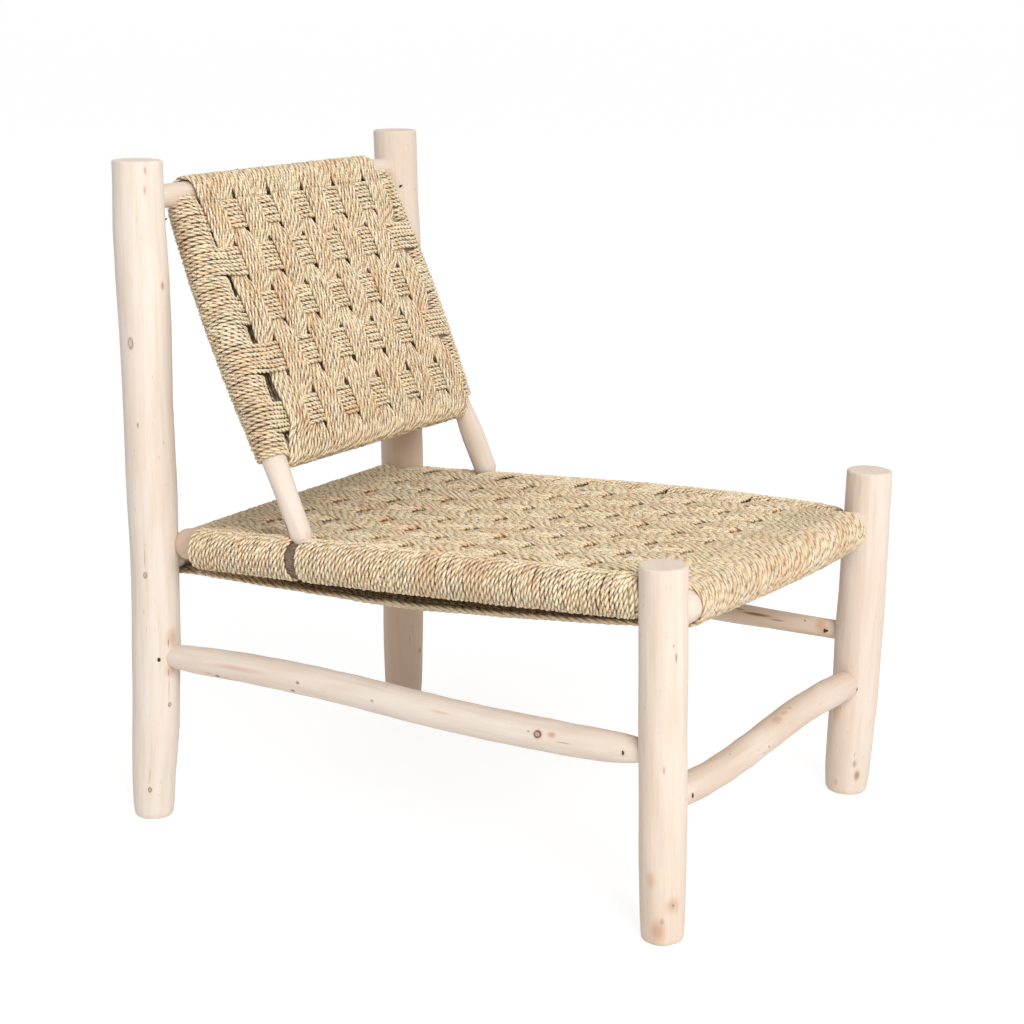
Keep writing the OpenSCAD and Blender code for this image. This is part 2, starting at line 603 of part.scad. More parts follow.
module seat_warp_bands() {
    last = seat_rows - 1;
    color(ROPE)
        for (col = [0 : seat_cols - 1]) {
            x = col_at(face_edge, col + 0.5);
            low = [for (i = [1 : LOWER_STEPS]) lerp(rear_y, front_y, i / (LOWER_STEPS + 1))];
            half = [warp_half(FRONT_RAIL), 0, 0];
            belt(concat(
                [for (row = [0 : last], end = [-1, 1])
                    let (over = !weft_over(col, row))
                        station(face_point(row, warp_side(col, 1, over), end, over),
                            face_point(row, warp_side(col, -1, over), end, over), UP)],
                warp_turn(REAR_RAIL, col, [0, 1, 0],
                    warp_leave(REAR_RAIL, col, [0, 1, 0], face_point(last, x, 1, false), UP),
                    -warp_leave(REAR_RAIL, col, [0, 1, 0], lower_point(col + 0.5, low[0]), -UP)),
                [for (y = low)
                    let (p = lower_point(col + 0.5, y))
                        station(p + half, p - half, -UP)],
                warp_turn(FRONT_RAIL, col, [0, -1, 0],
                    -warp_leave(FRONT_RAIL, col, [0, -1, 0],
                        lower_point(col + 0.5, low[LOWER_STEPS - 1]), -UP),
                    warp_leave(FRONT_RAIL, col, [0, -1, 0], face_point(0, x, -1, false), UP))));
        }
}

// Half a turn of a weft band round a side rail, from one side of the belt to the other
function weft_turn(side, row, back) = let (m = SIDE_RAIL[side], y = row_y(row, face_edge[side]),
        a = y - weft_w / 2, b = y + weft_w / 2, c = side_at(m, y), r = side_r(m, y),
        out = square_to(limb_dir(m), outward(side)), up = (1 - 2 * side) * cross(out, limb_dir(m)),
        col = side * (seat_cols - 1), edge = 2 * side - 1, over = weft_over(col, row),
        top = leave(face_point(row, warp_side(col, edge, !over), 0, over), c, r, out, up),
        low = -leave(return_point(side, y), c, r, out, -up))
    turn(side_at(m, a), side_at(m, b), side_r(m, a), side_r(m, b), out, up,
        back ? low : top, back ? top : low);

module seat_weft_bands() {
    color(ROPE)
        for (row = [0 : seat_rows - 1])
            belt(concat(
                [for (col = [0 : seat_cols - 1], edge = [-1, 1])
                    let (over = weft_over(col, row), x = warp_side(col, edge, !over))
                        station(face_point(row, x, -1, over), face_point(row, x, 1, over), UP)],
                weft_turn(LEFT, row, false),
                [for (side = [LEFT, RIGHT])
                    let (y = row_y(row, face_edge[side]), h = weft_w / 2)
                        station(return_point(side, y - h), return_point(side, y + h), -UP)],
                weft_turn(RIGHT, row, true)));
}

// Turns round a side rail between its weft bands, left open where the stile's foot stands
module rail_wraps(side) {
    m = SIDE_RAIL[side];
    function edge_y(row, end) = row_y(row, face_edge[side]) + end * (weft_w / 2 + ROW_ROOM);
    starts = concat([front_y + wrap_stop[0]], [for (row = [0 : seat_rows - 1]) edge_y(row, 1)]);
    ends = concat([for (row = [0 : seat_rows - 1]) edge_y(row, -1)], [rear_y - wrap_stop[1]]);
    color(ROPE)
        for (i = [0 : seat_rows])
            if (i != stile_after[side] && ends[i] > starts[i] + rope_d)
                sleeve(limb_start(m), limb_dir(m),
                    [for (k = [2 : -1 : 0])
                        let (y = lerp(starts[i], ends[i], k / 2))
                            [side_r(m, y), limb_len(m) * depth_share(m, y)]]);
}

// Back: v runs from the top rail's axis down to the crossbar's

function back_side(side, v) = lerp(stile_top(side), bar_end(side), v);
function back_r(side, v) = stile_r_at(side, v * crossbar_at[side]);
function across(v) = unit(back_side(LEFT, v) - back_side(RIGHT, v));
back_mid = bar_end(RIGHT) + bar_end(LEFT) - stile_top(RIGHT) - stile_top(LEFT);
back_down = unit(back_mid);
back_len = norm(back_mid) / 2;
function back_front(v) = unit(cross(back_down, across(v)));
row_half = weft_w / 2 / back_len;
// Edges of the warp, held off each wrapped stile, and the middle of the woven face
function wrapped_r(side, v) = back_r(side, min(max(v, stile_wrap[0]), stile_wrap[1]));
function back_gap(side, v) = lerp(back_gap_top[side], back_gap_foot[side], v);
function back_edge(side, v, off) = back_side(side, v)
    + (1 - 2 * side) * across(v) * (wrapped_r(side, v) + back_gap(side, v) + off);
function bar_r(v) = lerp(top_rail_d[1], crossbar_d, v) / 2;
function face_n(v) = max(bar_r(v), wrapped_r(RIGHT, v), wrapped_r(LEFT, v)) + wrap_mid;
// Point of the back at a column, a share down, and a height over the stiles' plane
function back_point(k, v, n, off = wrap_mid) = back_front(v) * n
    + lerp(back_edge(RIGHT, v, off), back_edge(LEFT, v, off), k / back_cols);
function back_pitch(v) = norm(back_edge(LEFT, v, wrap_mid) - back_edge(RIGHT, v, wrap_mid)) / back_cols;
function back_k(col, v, edge, over) = col + 0.5 + edge * half_w(back_pitch(v), over) / back_pitch(v);
function face_at(k, v, over) = back_point(k, v, face_n(v) + offset_of(over));

// Half a turn of a warp band round the top rail (v = 0) or the crossbar (v = 1)
function back_rim(v, k) = v == 0 ? cross_r(TOP_RAIL, back_point(k, 0, 0).x) : crossbar_d / 2;
function back_turn(col, v, from, back) = let (out = v == 0 ? -back_down : back_down,
        half = 0.5 - turn_gap / back_pitch(v) / 2, a = col + 0.5 - half, b = col + 0.5 + half,
        p = face_at(col + 0.5, from, false),
        top = leave(p, back_point(col + 0.5, v, 0), back_rim(v, col + 0.5), out, back_front(v)))
    turn(back_point(a, v, 0), back_point(b, v, 0), back_rim(v, a), back_rim(v, b), out, back_front(v),
        back ? -90 : top, back ? top : -90);

module back_warp_bands() {
    last = len(back_rows) - 1;
    color(ROPE)
        for (col = [0 : back_cols - 1])
            belt(concat(
                [for (row = [0 : last], end = [-1, 1])
                    let (over = !weft_over(col, row), v = back_rows[row] + end * row_half)
                        station(face_at(back_k(col, v, -1, over), v, over),
                            face_at(back_k(col, v, 1, over), v, over), back_front(v))],
                back_turn(col, 1, back_rows[last] + row_half, false),
                back_turn(col, 0, back_rows[0] - row_half, true)));
}

// Half a turn of a weft band round a stile; on the rear it lies over the warp
function back_return(side, v) = back_point(side * back_cols, v, -face_n(v) - 2 * (lift + rope_gap), 0);
function stile_turn(side, row, back) = let (v = back_rows[row],
        out = square_to(stile_dir(side), (2 * side - 1) * across(v)),
        face = (2 * side - 1) * cross(out, stile_dir(side)),
        c = back_side(side, v), r = back_r(side, v),
        col = side * (back_cols - 1), over = weft_over(col, row),
        p = face_at(back_k(col, v, 2 * side - 1, !over), v, over),
        top = leave(p, c, r, out, face), low = -leave(back_return(side, v), c, r, out, -face),
        a = v + row_half, b = v - row_half)
    turn(back_side(side, a), back_side(side, b), back_r(side, a), back_r(side, b), out, face,
        back ? low : top, back ? top : low);

module back_weft_bands() {
    color(ROPE)
        for (row = [0 : len(back_rows) - 1])
            belt(concat(
                [for (col = [0 : back_cols - 1], edge = [-1, 1])
                    let (over = weft_over(col, row), q = [for (end = [1, -1])
                        let (v = back_rows[row] + end * row_half)
                            face_at(back_k(col, v, edge, !over), v, over)])
                        station(q[0], q[1], back_front(back_rows[row]))],
                stile_turn(LEFT, row, false),
                [for (side = [LEFT, RIGHT])
                    let (v = back_rows[row])
                        station(back_return(side, v + row_half), back_return(side, v - row_half),
                            -back_front(v))],
                stile_turn(RIGHT, row, true)));
}

// Turns round a stile between its weft bands
module stile_wraps(side) {
    room = row_half + ROW_ROOM / back_len;
    starts = concat([stile_wrap[0]], [for (v = back_rows) v + room]);
    ends = concat([for (v = back_rows) v - room], [stile_wrap[1]]);
    color(ROPE)
        for (i = [0 : len(starts) - 1])
            if ((ends[i] - starts[i]) * back_len > rope_d)
                sleeve(stile_foot(side), stile_dir(side),
                    [for (k = [2 : -1 : 0])
                        let (v = lerp(starts[i], ends[i], k / 2),
                            s = (1 - v * crossbar_at[side]) * stile_span(side))
                            [stile_r(side, s), s]]);
}

module rear_right_post() { post(RR); }
module rear_left_post() { post(RL); }
module front_right_post() { post(FR); }
module front_left_post() { post(FL); }
module back_top_rail() { rail(TOP_RAIL, [RIGHT, LEFT]); }
module front_seat_rail() { rail(FRONT_RAIL, []); }
module rear_seat_rail() { rail(REAR_RAIL, []); }
module right_seat_rail() { rail(RIGHT_RAIL, [RIGHT], BARK); }
module left_seat_rail() { rail(LEFT_RAIL, [LEFT]); }
module right_stretcher() { stretcher(RIGHT_STRETCHER); }
module left_stretcher() { stretcher(LEFT_STRETCHER); }
module front_stretcher() { stretcher(FRONT_STRETCHER); }
module right_stile() { stile(RIGHT); }
module left_stile() { stile(LEFT); }
module right_rail_wraps() { rail_wraps(RIGHT); }
module left_rail_wraps() { rail_wraps(LEFT); }
module right_stile_wraps() { stile_wraps(RIGHT); }
module left_stile_wraps() { stile_wraps(LEFT); }
module joint_nails() { color(STEEL) nails(0); }

rear_right_post();
rear_left_post();
front_right_post();
front_left_post();
back_top_rail();
front_seat_rail();
rear_seat_rail();
right_seat_rail();
left_seat_rail();
right_stretcher();
left_stretcher();
front_stretcher();
right_stile();
left_stile();
back_crossbar();
seat_warp_bands();
seat_weft_bands();
right_rail_wraps();
left_rail_wraps();
back_warp_bands();
back_weft_bands();
right_stile_wraps();
left_stile_wraps();
joint_nails();
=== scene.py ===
import math

import bpy
import numpy as np
from mathutils import Matrix


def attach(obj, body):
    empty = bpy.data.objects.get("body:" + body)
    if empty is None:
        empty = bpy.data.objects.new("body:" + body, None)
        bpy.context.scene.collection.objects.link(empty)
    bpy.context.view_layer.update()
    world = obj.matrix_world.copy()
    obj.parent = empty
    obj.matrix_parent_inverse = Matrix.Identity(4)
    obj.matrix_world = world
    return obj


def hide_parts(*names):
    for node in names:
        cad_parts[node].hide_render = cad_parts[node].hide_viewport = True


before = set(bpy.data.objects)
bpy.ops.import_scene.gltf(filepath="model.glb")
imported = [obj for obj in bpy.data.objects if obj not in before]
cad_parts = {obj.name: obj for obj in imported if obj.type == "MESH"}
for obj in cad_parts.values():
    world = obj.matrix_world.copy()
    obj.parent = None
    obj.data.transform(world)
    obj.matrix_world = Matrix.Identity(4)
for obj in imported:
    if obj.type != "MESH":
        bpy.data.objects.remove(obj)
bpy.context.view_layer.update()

# Sizes in millimetres, in the part's own frame: front -Y, sitter's right -X, floor at 0
# The middle of the chair's box, which is the frame's origin
CENTRE = np.array([0.125466, -3.47615, 0.0])
DEPTH, FRONT_W, REAR_W = 697.0, 513.0, 540.0
# A post: foot x and y, height, diameters (foot, body, top), lean x and y, bow
POSTS = {
    "rear_right_post": (-REAR_W / 2, DEPTH / 2, 800, (46, 56, 58), (6, -7), 7),
    "rear_left_post": (REAR_W / 2, DEPTH / 2, 805, (48, 55, 55), (-1, 1), 0),
    "front_right_post": (-FRONT_W / 2, -DEPTH / 2, 416, (43, 50, 51), (-3, 5), 0),
    "front_left_post": (FRONT_W / 2, -DEPTH / 2, 417, (49, 58, 53), (4, -9), 0),
}
FOOT_TAPER = 120.0
RR, RL, FR, FL = POSTS
# A limb: first post, height, second post, height, three diameters, whittled length, tenon, wave
LIMBS = {
    "back_top_rail": (RR, 755, RL, 755, (28, 28, 27), 12, 24, 0),
    "front_seat_rail": (FR, 360, FL, 354, (38, 36, 33), 12, 22, 0),
    "rear_seat_rail": (RR, 324, RL, 324, (35, 36, 34), 12, 22, 0),
    "right_seat_rail": (RR, 346, FR, 379, (37, 42, 39), 12, 22, 0),
    "left_seat_rail": (RL, 318, FL, 334, (37, 41, 37), 12, 22, 0),
    "right_stretcher": (RR, 209, FR, 208, (33, 37, 35), 70, 22, 4.2),
    "left_stretcher": (RL, 206, FL, 207, (27, 28, 24), 12, 22, 1),
    "front_stretcher": (FR, 155, FL, 147, (34, 35, 37), 12, 22, -5),
}
# How much wider than its tenon a limb is where it enters the post
SHOULDER = 1.2
# The rope's thickness, its gap from what it lies on, and its middle's distance from there
ROPE, GAP = 5.2, 0.4
MID = GAP + ROPE / 2
UP = np.array([0.0, 0.0, 1.0])


def unit(v):
    return v / np.linalg.norm(v)


def lerp(a, b, t):
    return a + (b - a) * t


def smooth(t):
    t = np.clip(t, 0.0, 1.0)
    return t * t * (3 - 2 * t)


def nose(e):
    """A quarter circle from 0 to 1"""
    e = np.clip(e, 0.0, 1.0)
    return np.sqrt(1 - (1 - e) ** 2)


def through(d, t):
    """A curve through three values, at shares 0, 0.5 and 1"""
    return d[0] * (1 - t) * (1 - 2 * t) + 4 * d[1] * t * (1 - t) + d[2] * t * (2 * t - 1)


def post_at(name, z):
    x, y, h, _, lean, bow = POSTS[name]
    z = np.asarray(z, float)
    back = lean[1] * z / h - bow * np.sin(np.pi * z / h)
    return np.stack([x + lean[0] * z / h, y + back, z], -1) - CENTRE


def post_r(name, z):
    h, d = POSTS[name][2], POSTS[name][3]
    z = np.asarray(z, float)
    low = lerp(d[0], d[1], nose(z / FOOT_TAPER))
    return np.where(z < FOOT_TAPER, low, lerp(d[1], d[2], (z - FOOT_TAPER) / (h - FOOT_TAPER))) / 2


class Limb:
    """A rail or stretcher between two posts; s is the distance from its start"""

    def __init__(self, name):
        p, z, q, w, self.d, self.whittle, self.tenon, self.wave = LIMBS[name]
        a, b = post_at(p, z), post_at(q, w)
        self.dir = unit(b - a)
        self.start = a + self.dir * post_r(p, z)
        self.end = b - self.dir * post_r(q, w)
        self.length = np.linalg.norm(self.end - self.start)

    def r(self, s):
        e = nose(np.minimum(s, self.length - s) / self.whittle)
        return lerp(self.tenon + SHOULDER, through(self.d, s / self.length), e) / 2

    def share(self, axis, value):
        return (value - self.start[axis]) / (self.end[axis] - self.start[axis])

    def at(self, axis, value):
        t = np.asarray(self.share(axis, value))
        return self.start + t[..., None] * (self.end - self.start)

    def r_at(self, axis, value, inset=0.0):
        s = np.clip(self.share(axis, value) * self.length, inset, self.length - inset)
        return self.r(s)


LIMB = {name: Limb(name) for name in LIMBS}
FRONT, REAR, TOP = LIMB["front_seat_rail"], LIMB["rear_seat_rail"], LIMB["back_top_rail"]
SIDES = (LIMB["right_seat_rail"], LIMB["left_seat_rail"])

# Seat: warp bands (columns), weft bands (rows) and the width of a weft band
COLS, ROWS, WEFT = 13, 10, 36.4
EDGE = (SIDES[0].end[0] + SIDES[0].d[2] / 2 + GAP + ROPE, SIDES[1].end[0] - SIDES[1].d[2] / 2 - GAP - ROPE)
PITCH = (EDGE[1] - EDGE[0]) / COLS
FRONT_Y = post_at(FR, LIMBS["front_seat_rail"][1])[1]
REAR_Y = post_at(RR, LIMBS["rear_seat_rail"][1])[1]
# How far the first and the last row lie from the rails, at the right and at the left edge
FIRST, LAST = (64, 98), (67, 50)
# How far a band rises where it goes over another
LIFT = (ROPE + GAP) / 2
# Gap between two warp bands, and how much wider a band is on top than where it is covered
BAND_GAP, SPREAD = 3.5, 6.0
# How far the seat and its lower layer sag, and how far in from the rails a corner's height is taken
SEAT_SAG, LOWER_SAG, CORNER_IN = 9.0, 8.0, 40.0
# Lengths that stay bare at the right and left end of the front and of the rear rail
FRONT_BARE, REAR_BARE = (24, 30), (4, 4)


def seat_u(x):
    return (x - EDGE[0]) / (EDGE[1] - EDGE[0])


def seat_v(y):
    return (y - FRONT_Y) / (REAR_Y - FRONT_Y)


def row_y(row, x):
    u = seat_u(x)
    first, last = FRONT_Y + lerp(*FIRST, u), REAR_Y - lerp(*LAST, u)
    return lerp(first, last, row / (ROWS - 1))


def over(col, row):
    """The weft lies on top"""
    return (col + row) % 2 == 1


def half_w(pitch, on_top):
    return (pitch - BAND_GAP + np.where(on_top, SPREAD, -SPREAD)) / 2


def side_top(side, y):
    m = SIDES[side]
    return m.at(1, y)[..., 2] + m.r_at(1, y) + MID


def end_top(m, x):
    return m.at(0, x)[..., 2] + m.r_at(0, x) + MID


CORNER = [[(side_top(s, y) + end_top(m, EDGE[s])) / 2
           for m, y in ((FRONT, FRONT_Y + CORNER_IN), (REAR, REAR_Y - CORNER_IN))] for s in (0, 1)]


def seat_z(x, y):
    """The seat's middle surface, spanned by the four rails and sagging between them"""
    u, v = seat_u(x), seat_v(y)
    flat = lerp(lerp(CORNER[0][0], CORNER[1][0], u), lerp(CORNER[0][1], CORNER[1][1], u), v)
    return (lerp(end_top(FRONT, x), end_top(REAR, x), v) + lerp(side_top(0, y), side_top(1, y), u)
            - flat - SEAT_SAG * np.sin(np.pi * u) * np.sin(np.pi * v))


def end_edge(m):
    bare = FRONT_BARE if m is FRONT else REAR_BARE
    return m.start[0] + bare[0], m.end[0] - bare[1]


def col_at(edges, k):
    return lerp(edges[0], edges[1], k / COLS)


def lower(k, y):
    """The lower layer of the seat, k columns from the right edge"""
    v = seat_v(y)
    x = lerp(col_at(end_edge(FRONT), k), col_at(end_edge(REAR), k), v)
    foot = [m.at(0, x)[..., 2] - m.r_at(0, x, m.whittle) - MID for m in (FRONT, REAR)]
    return np.stack([x, y, lerp(foot[0], foot[1], v) - LOWER_SAG * np.sin(np.pi * v)], -1)


# Stiles and back: the stiles' tops on the top rail, their diameters and the row that each foot follows
STILE_TOP = [TOP.at(0, -192.0), TOP.at(0, 215.0)]
STILE_D = ((27, 30, 27), (23, 26, 26))
STILE_AFTER = (7, 8)
# How far down the stiles the crossbar is, its diameter, and the diameter of the stiles' coped ends
CROSS_AT, CROSS_D, NECK = 0.72, 30.0, 17.0
# Lengths over which a stile grows thick from its foot and from its top
FOOT_RUN, TOP_RUN = 60.0, 12.0


def stile_foot(side):
    m, top = SIDES[side], STILE_TOP[side]
    y = row_y(STILE_AFTER[side] - 0.5, EDGE[side])
    c = m.at(1, y)
    return m.at(1, y - (m.r_at(1, y) + MID) * (top[1] - y) / (top[2] - c[2]))


FOOT = [stile_foot(s) for s in (0, 1)]
STILE_DIR = [unit(STILE_TOP[s] - FOOT[s]) for s in (0, 1)]
SPAN = [np.linalg.norm(STILE_TOP[s] - FOOT[s]) for s in (0, 1)]


def seat_in(r, sine):
    """How far from a rail's axis a coped end begins"""
    return (math.sqrt(r * r - NECK * NECK / 4) - NECK / 2 * sine) / math.sqrt(1 - sine * sine)


STILE_FROM = [seat_in(float(SIDES[s].r_at(1, FOOT[s][1])), abs(STILE_DIR[s] @ SIDES[s].dir)) for s in (0, 1)]
STILE_TO = [SPAN[s] - seat_in(float(TOP.r_at(0, STILE_TOP[s][0])), abs(STILE_DIR[s] @ TOP.dir))
            for s in (0, 1)]


def stile_r(side, s):
    a, b = STILE_FROM[side], STILE_TO[side]
    e = np.minimum(np.clip((s - a) / FOOT_RUN, 0, 1) ** 0.8, nose((b - s) / TOP_RUN))
    return lerp(NECK, through(STILE_D[side], (s - a) / (b - a)), e) / 2


BAR = [lerp(STILE_TOP[s], FOOT[s], CROSS_AT) for s in (0, 1)]
# Warp bands, and the weft bands' places as shares of the way down
BACK_COLS, BACK_ROWS = 11, (0.117, 0.295, 0.48, 0.667, 0.883)
# How far the warp keeps from the right and the left stile, at the top and at the foot
GAP_TOP, GAP_FOOT = (-8, 7), (14, 2)
# The part of the stiles that is wrapped
WRAPPED = (0.05, 0.94)
BACK_MID = BAR[0] + BAR[1] - STILE_TOP[0] - STILE_TOP[1]
DOWN, BACK_LEN = unit(BACK_MID), np.linalg.norm(BACK_MID) / 2
ROW_HALF = WEFT / 2 / BACK_LEN


def col3(v):
    return np.asarray(v, float)[..., None]


def back_side(side, v):
    return STILE_TOP[side] + col3(v) * (BAR[side] - STILE_TOP[side])


def back_r(side, v):
    return stile_r(side, (1 - v * CROSS_AT) * SPAN[side])


def units(a):
    return a / np.linalg.norm(a, axis=-1, keepdims=True)


def across(v):
    return units(back_side(1, v) - back_side(0, v))


def back_front(v):
    return units(np.cross(DOWN, across(v)))


def wrapped_r(side, v):
    return back_r(side, np.clip(v, *WRAPPED))


def back_edge(side, v, off):
    """The warp's edge beside a stile, v of the way down"""
    gap = lerp(GAP_TOP[side], GAP_FOOT[side], v)
    return back_side(side, v) + (1 - 2 * side) * across(v) * col3(wrapped_r(side, v) + gap + off)


def face_n(v):
    """How far in front of the stiles' axes the back's face lies"""
    rails = lerp(TOP.d[0] / 2, CROSS_D / 2, v)
    return np.maximum(np.maximum(rails, wrapped_r(0, v)), wrapped_r(1, v)) + MID


def back_point(k, v, n, off=MID):
    """A point of the back: k columns from the right, v of the way down and n in front of the stiles"""
    a, b = back_edge(0, v, off), back_edge(1, v, off)
    return back_front(v) * col3(n) + a + col3(k) / BACK_COLS * (b - a)


def back_pitch(v):
    return np.linalg.norm(back_edge(1, v, MID) - back_edge(0, v, MID), axis=-1) / BACK_COLS


# Rope: a closed or open path becomes a tube of two plies that wind round each other
# A ply's radius, and how far its middle is from the rope's
PLY_R, PLY_OFF = 1.88, 0.96
SIDES_K, RINGS_PER_TURN = 8, 6.2
# Lengths over which a rope drifts, its twist varies and its plies swell
DRIFT_RUN, TWIST_RUN, SWELL_RUN = 60, 50, 16
# How much the twist varies, in radians, and the plies swell, as a share; and the ropes' different lays
TWIST_DRIFT, SWELL, LAY_RANGE = 0.3, 0.1, (0.92, 1.08)
# Each rope's streaks start somewhere in this length
TEXTURE_LENGTH = 4000
rng = np.random.default_rng(7)


def tube(n, k, closed=False):
    """Quads between n rings of k points"""
    i, j = np.meshgrid(np.arange(n if closed else n - 1), np.arange(k), indexing="ij")
    i2, j2 = (i + 1) % n, (j + 1) % k
    return np.stack([i * k + j, i * k + j2, i2 * k + j2, i2 * k + j], -1).reshape(-1, 4)


def flat_end(k):
    """Quads that close a ring of k points, where k is even"""
    h = np.arange(k // 2 - 1)
    return np.stack([h, h + 1, k - 2 - h, k - 1 - h], -1)


def wander(n, length, scale, amount):
    """A smooth random line, the same at its start and end"""
    waves = max(2, int(length / scale))
    k = np.arange(1, waves + 1)
    amp = rng.normal(0, 1, waves) / np.sqrt(waves)
    ph = rng.uniform(0, 2 * np.pi, waves)
    t = np.arange(n)[:, None] / n * 2 * np.pi
    return amount * (amp * np.sin(k * t + ph)).sum(1)


def resample(points, rest, closed, step):
    """Points at even steps along a path, with what goes with them, and the path's length"""
    table = np.hstack([points, rest])
    if closed:
        table = np.vstack([table, table[:1]])
    d = np.r_[0, np.cumsum(np.linalg.norm(np.diff(table[:, :3], axis=0), axis=1))]
    n = max(6, int(round(d[-1] / step)))
    s = np.linspace(0, d[-1], n + 1)[:n if closed else n + 1]
    table = np.stack([np.interp(s, d, column) for column in table.T], -1)
    return table[:, :3], table[:, 3:], s, d[-1]


def ease(p, closed, passes):
    for _ in range(passes):
        if closed:
            p = 0.5 * p + 0.25 * (np.roll(p, 1, 0) + np.roll(p, -1, 0))
        else:
            p[1:-1] = 0.5 * p[1:-1] + 0.25 * (p[:-2] + p[2:])
    return p


def rope_frame(p, q, closed):
    """Two directions square to the path, the first as near as can be to the one given"""
    t = units(np.roll(p, -1, 0) - np.roll(p, 1, 0) if closed else np.gradient(p, axis=0))
    q = units(q - t * (q * t).sum(1)[:, None])
    return q, np.cross(t, q)


class Ropes:
    """Collects the ropes of one piece in one mesh; the lay is the length of a rope's full twist"""

    def __init__(self, lay):
        self.twist, self.step, self.count = lay, lay / RINGS_PER_TURN, 0
        self.v, self.f, self.lay, self.tone, self.shade = [], [], [], [], []

    def add(self, points, side, closed=True, loose=0.35, dark=None):
        """One rope that drifts by about loose, with painted shade where it faces the way of dark"""
        sides = np.tile(side, (len(points), 1))
        dark = np.zeros((len(points), 3)) if dark is None else dark
        p, rest, s, length = resample(points, np.hstack([sides, dark]), closed, self.step)
        p, dark = ease(p, closed, 2), rest[:, 3:]
        q, up = rope_frame(p, rest[:, :3], closed)
        n = len(p)
        aside = wander(n, length, DRIFT_RUN, loose)[:, None]
        p = p + q * aside + up * wander(n, length, DRIFT_RUN, loose * 0.6)[:, None]
        turns = length / (self.twist * rng.uniform(*LAY_RANGE))
        turns = max(1, round(turns)) if closed else turns
        phase = rng.uniform(0, 2 * np.pi) + 2 * np.pi * turns * s / length
        phase = phase + wander(n, length, TWIST_RUN, TWIST_DRIFT)
        a = np.arange(SIDES_K) / SIDES_K * 2 * np.pi
        c = np.cos(a)
        plies = [1 + wander(n, length, SWELL_RUN, SWELL)[:, None] for _ in range(2)]
        ply = np.where(c[None] >= 0, plies[0], plies[1])
        rho = (PLY_OFF * np.abs(c) + np.sqrt(PLY_R ** 2 - (PLY_OFF * np.sin(a)) ** 2))[None] * ply
        th = a[None] + phase[:, None]
        out = np.cos(th)[..., None] * q[:, None] + np.sin(th)[..., None] * up[:, None]
        ring = p[:, None] + rho[..., None] * out
        self.f.append(self.count + tube(n, SIDES_K, closed))
        if not closed:
            last = (n - 1) * SIDES_K
            self.f += [self.count + flat_end(SIDES_K)[:, ::-1], self.count + last + flat_end(SIDES_K)]
        self.v.append(ring.reshape(-1, 3))
        along = (s + rng.uniform(0, TEXTURE_LENGTH))[:, None] + 0 * rho
        self.lay.append(np.stack([rho * c, rho * np.sin(a), along], -1).reshape(-1, 3))
        self.tone.append(np.full(n * SIDES_K, rng.uniform(0, 1)))
        shade = (out * dark[:, None]).sum(-1)
        self.shade.append(np.clip(shade, 0, 1).ravel())
        self.count += n * SIDES_K

    def piece(self, name, node):
        ob = mesh_piece(name, np.vstack(self.v), np.vstack(self.f), ROPE_MAT)
        attribute(ob, "lay", np.vstack(self.lay))
        attribute(ob, "tone", np.concatenate(self.tone))
        attribute(ob, "shade", np.concatenate(self.shade))
        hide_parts(node)
        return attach(ob, "root")


def mesh_piece(name, v, f, material):
    me = bpy.data.meshes.new(name)
    me.vertices.add(len(v))
    me.vertices.foreach_set("co", (np.asarray(v) * 0.001).astype(np.float32).ravel())
    me.loops.add(f.size)
    me.loops.foreach_set("vertex_index", f.astype(np.int32).ravel())
    me.polygons.add(len(f))
    me.polygons.foreach_set("loop_start", np.arange(0, f.size, f.shape[1], dtype=np.int32))
    me.polygons.foreach_set("use_smooth", np.ones(len(f), bool))
    me.update(calc_edges=True)
    me.validate()
    me.materials.append(material)
    ob = bpy.data.objects.new(name, me)
    bpy.context.collection.objects.link(ob)
    return ob


def attribute(ob, name, values):
    kind = "FLOAT_VECTOR" if values.ndim == 2 else "FLOAT"
    a = ob.data.attributes.new(name, kind, "POINT")
    a.data.foreach_set("vector" if values.ndim == 2 else "value", values.astype(np.float32).ravel())


def leave(p, c, r, out, face):
    """Angle at which a path leaves a round rail straight towards a point"""
    d = p - c
    o, f = d @ out, d @ face
    return math.atan2(f, o) % (2 * np.pi) - math.acos(min(1.0, r / math.hypot(o, f)))


def arc(c, r, out, face, start, end, n):
    """A path round a rail"""
    t = np.linspace(start, end, n)[:, None]
    return c + r * (np.cos(t) * out + np.sin(t) * face)


def profile(x, knots, values):
    """Level values joined by smooth steps"""
    out = np.full(np.shape(x), values[0], float)
    for i in range(len(values) - 1):
        a, b = knots[2 * i + 1], knots[2 * i + 2]
        out = np.where(x > a, lerp(values[i], values[i + 1], smooth((x - a) / (b - a))), out)
    return out


def between(x, knots, amount):
    """A rise over each stretch between two level ones"""
    out = np.zeros(np.shape(x))
    for a, b in zip(knots[1:-1:2], knots[2::2]):
        out += amount * np.sin(np.pi * np.clip((x - a) / (b - a), 0, 1)) ** 2
    return out


def crown(x, knots, values, height):
    """A rounded rise over each level stretch that lies on top"""
    out = np.zeros(np.shape(x))
    for i, value in enumerate(values):
        a, b = knots[2 * i], knots[2 * i + 1]
        t = np.clip((x - a) / (b - a), 0, 1)
        out += np.where(value > 0, height, -height * 0.3) * np.sin(np.pi * t) ** 2 * ((x > a) & (x < b))
    return out


# Materials


def linear(r, g, b):
    """A colour as it looks on screen, in the values that a shader takes"""
    return [((c + 0.055) / 1.055) ** 2.4 if c > 0.04045 else c / 12.92 for c in (r, g, b)] + [1.0]


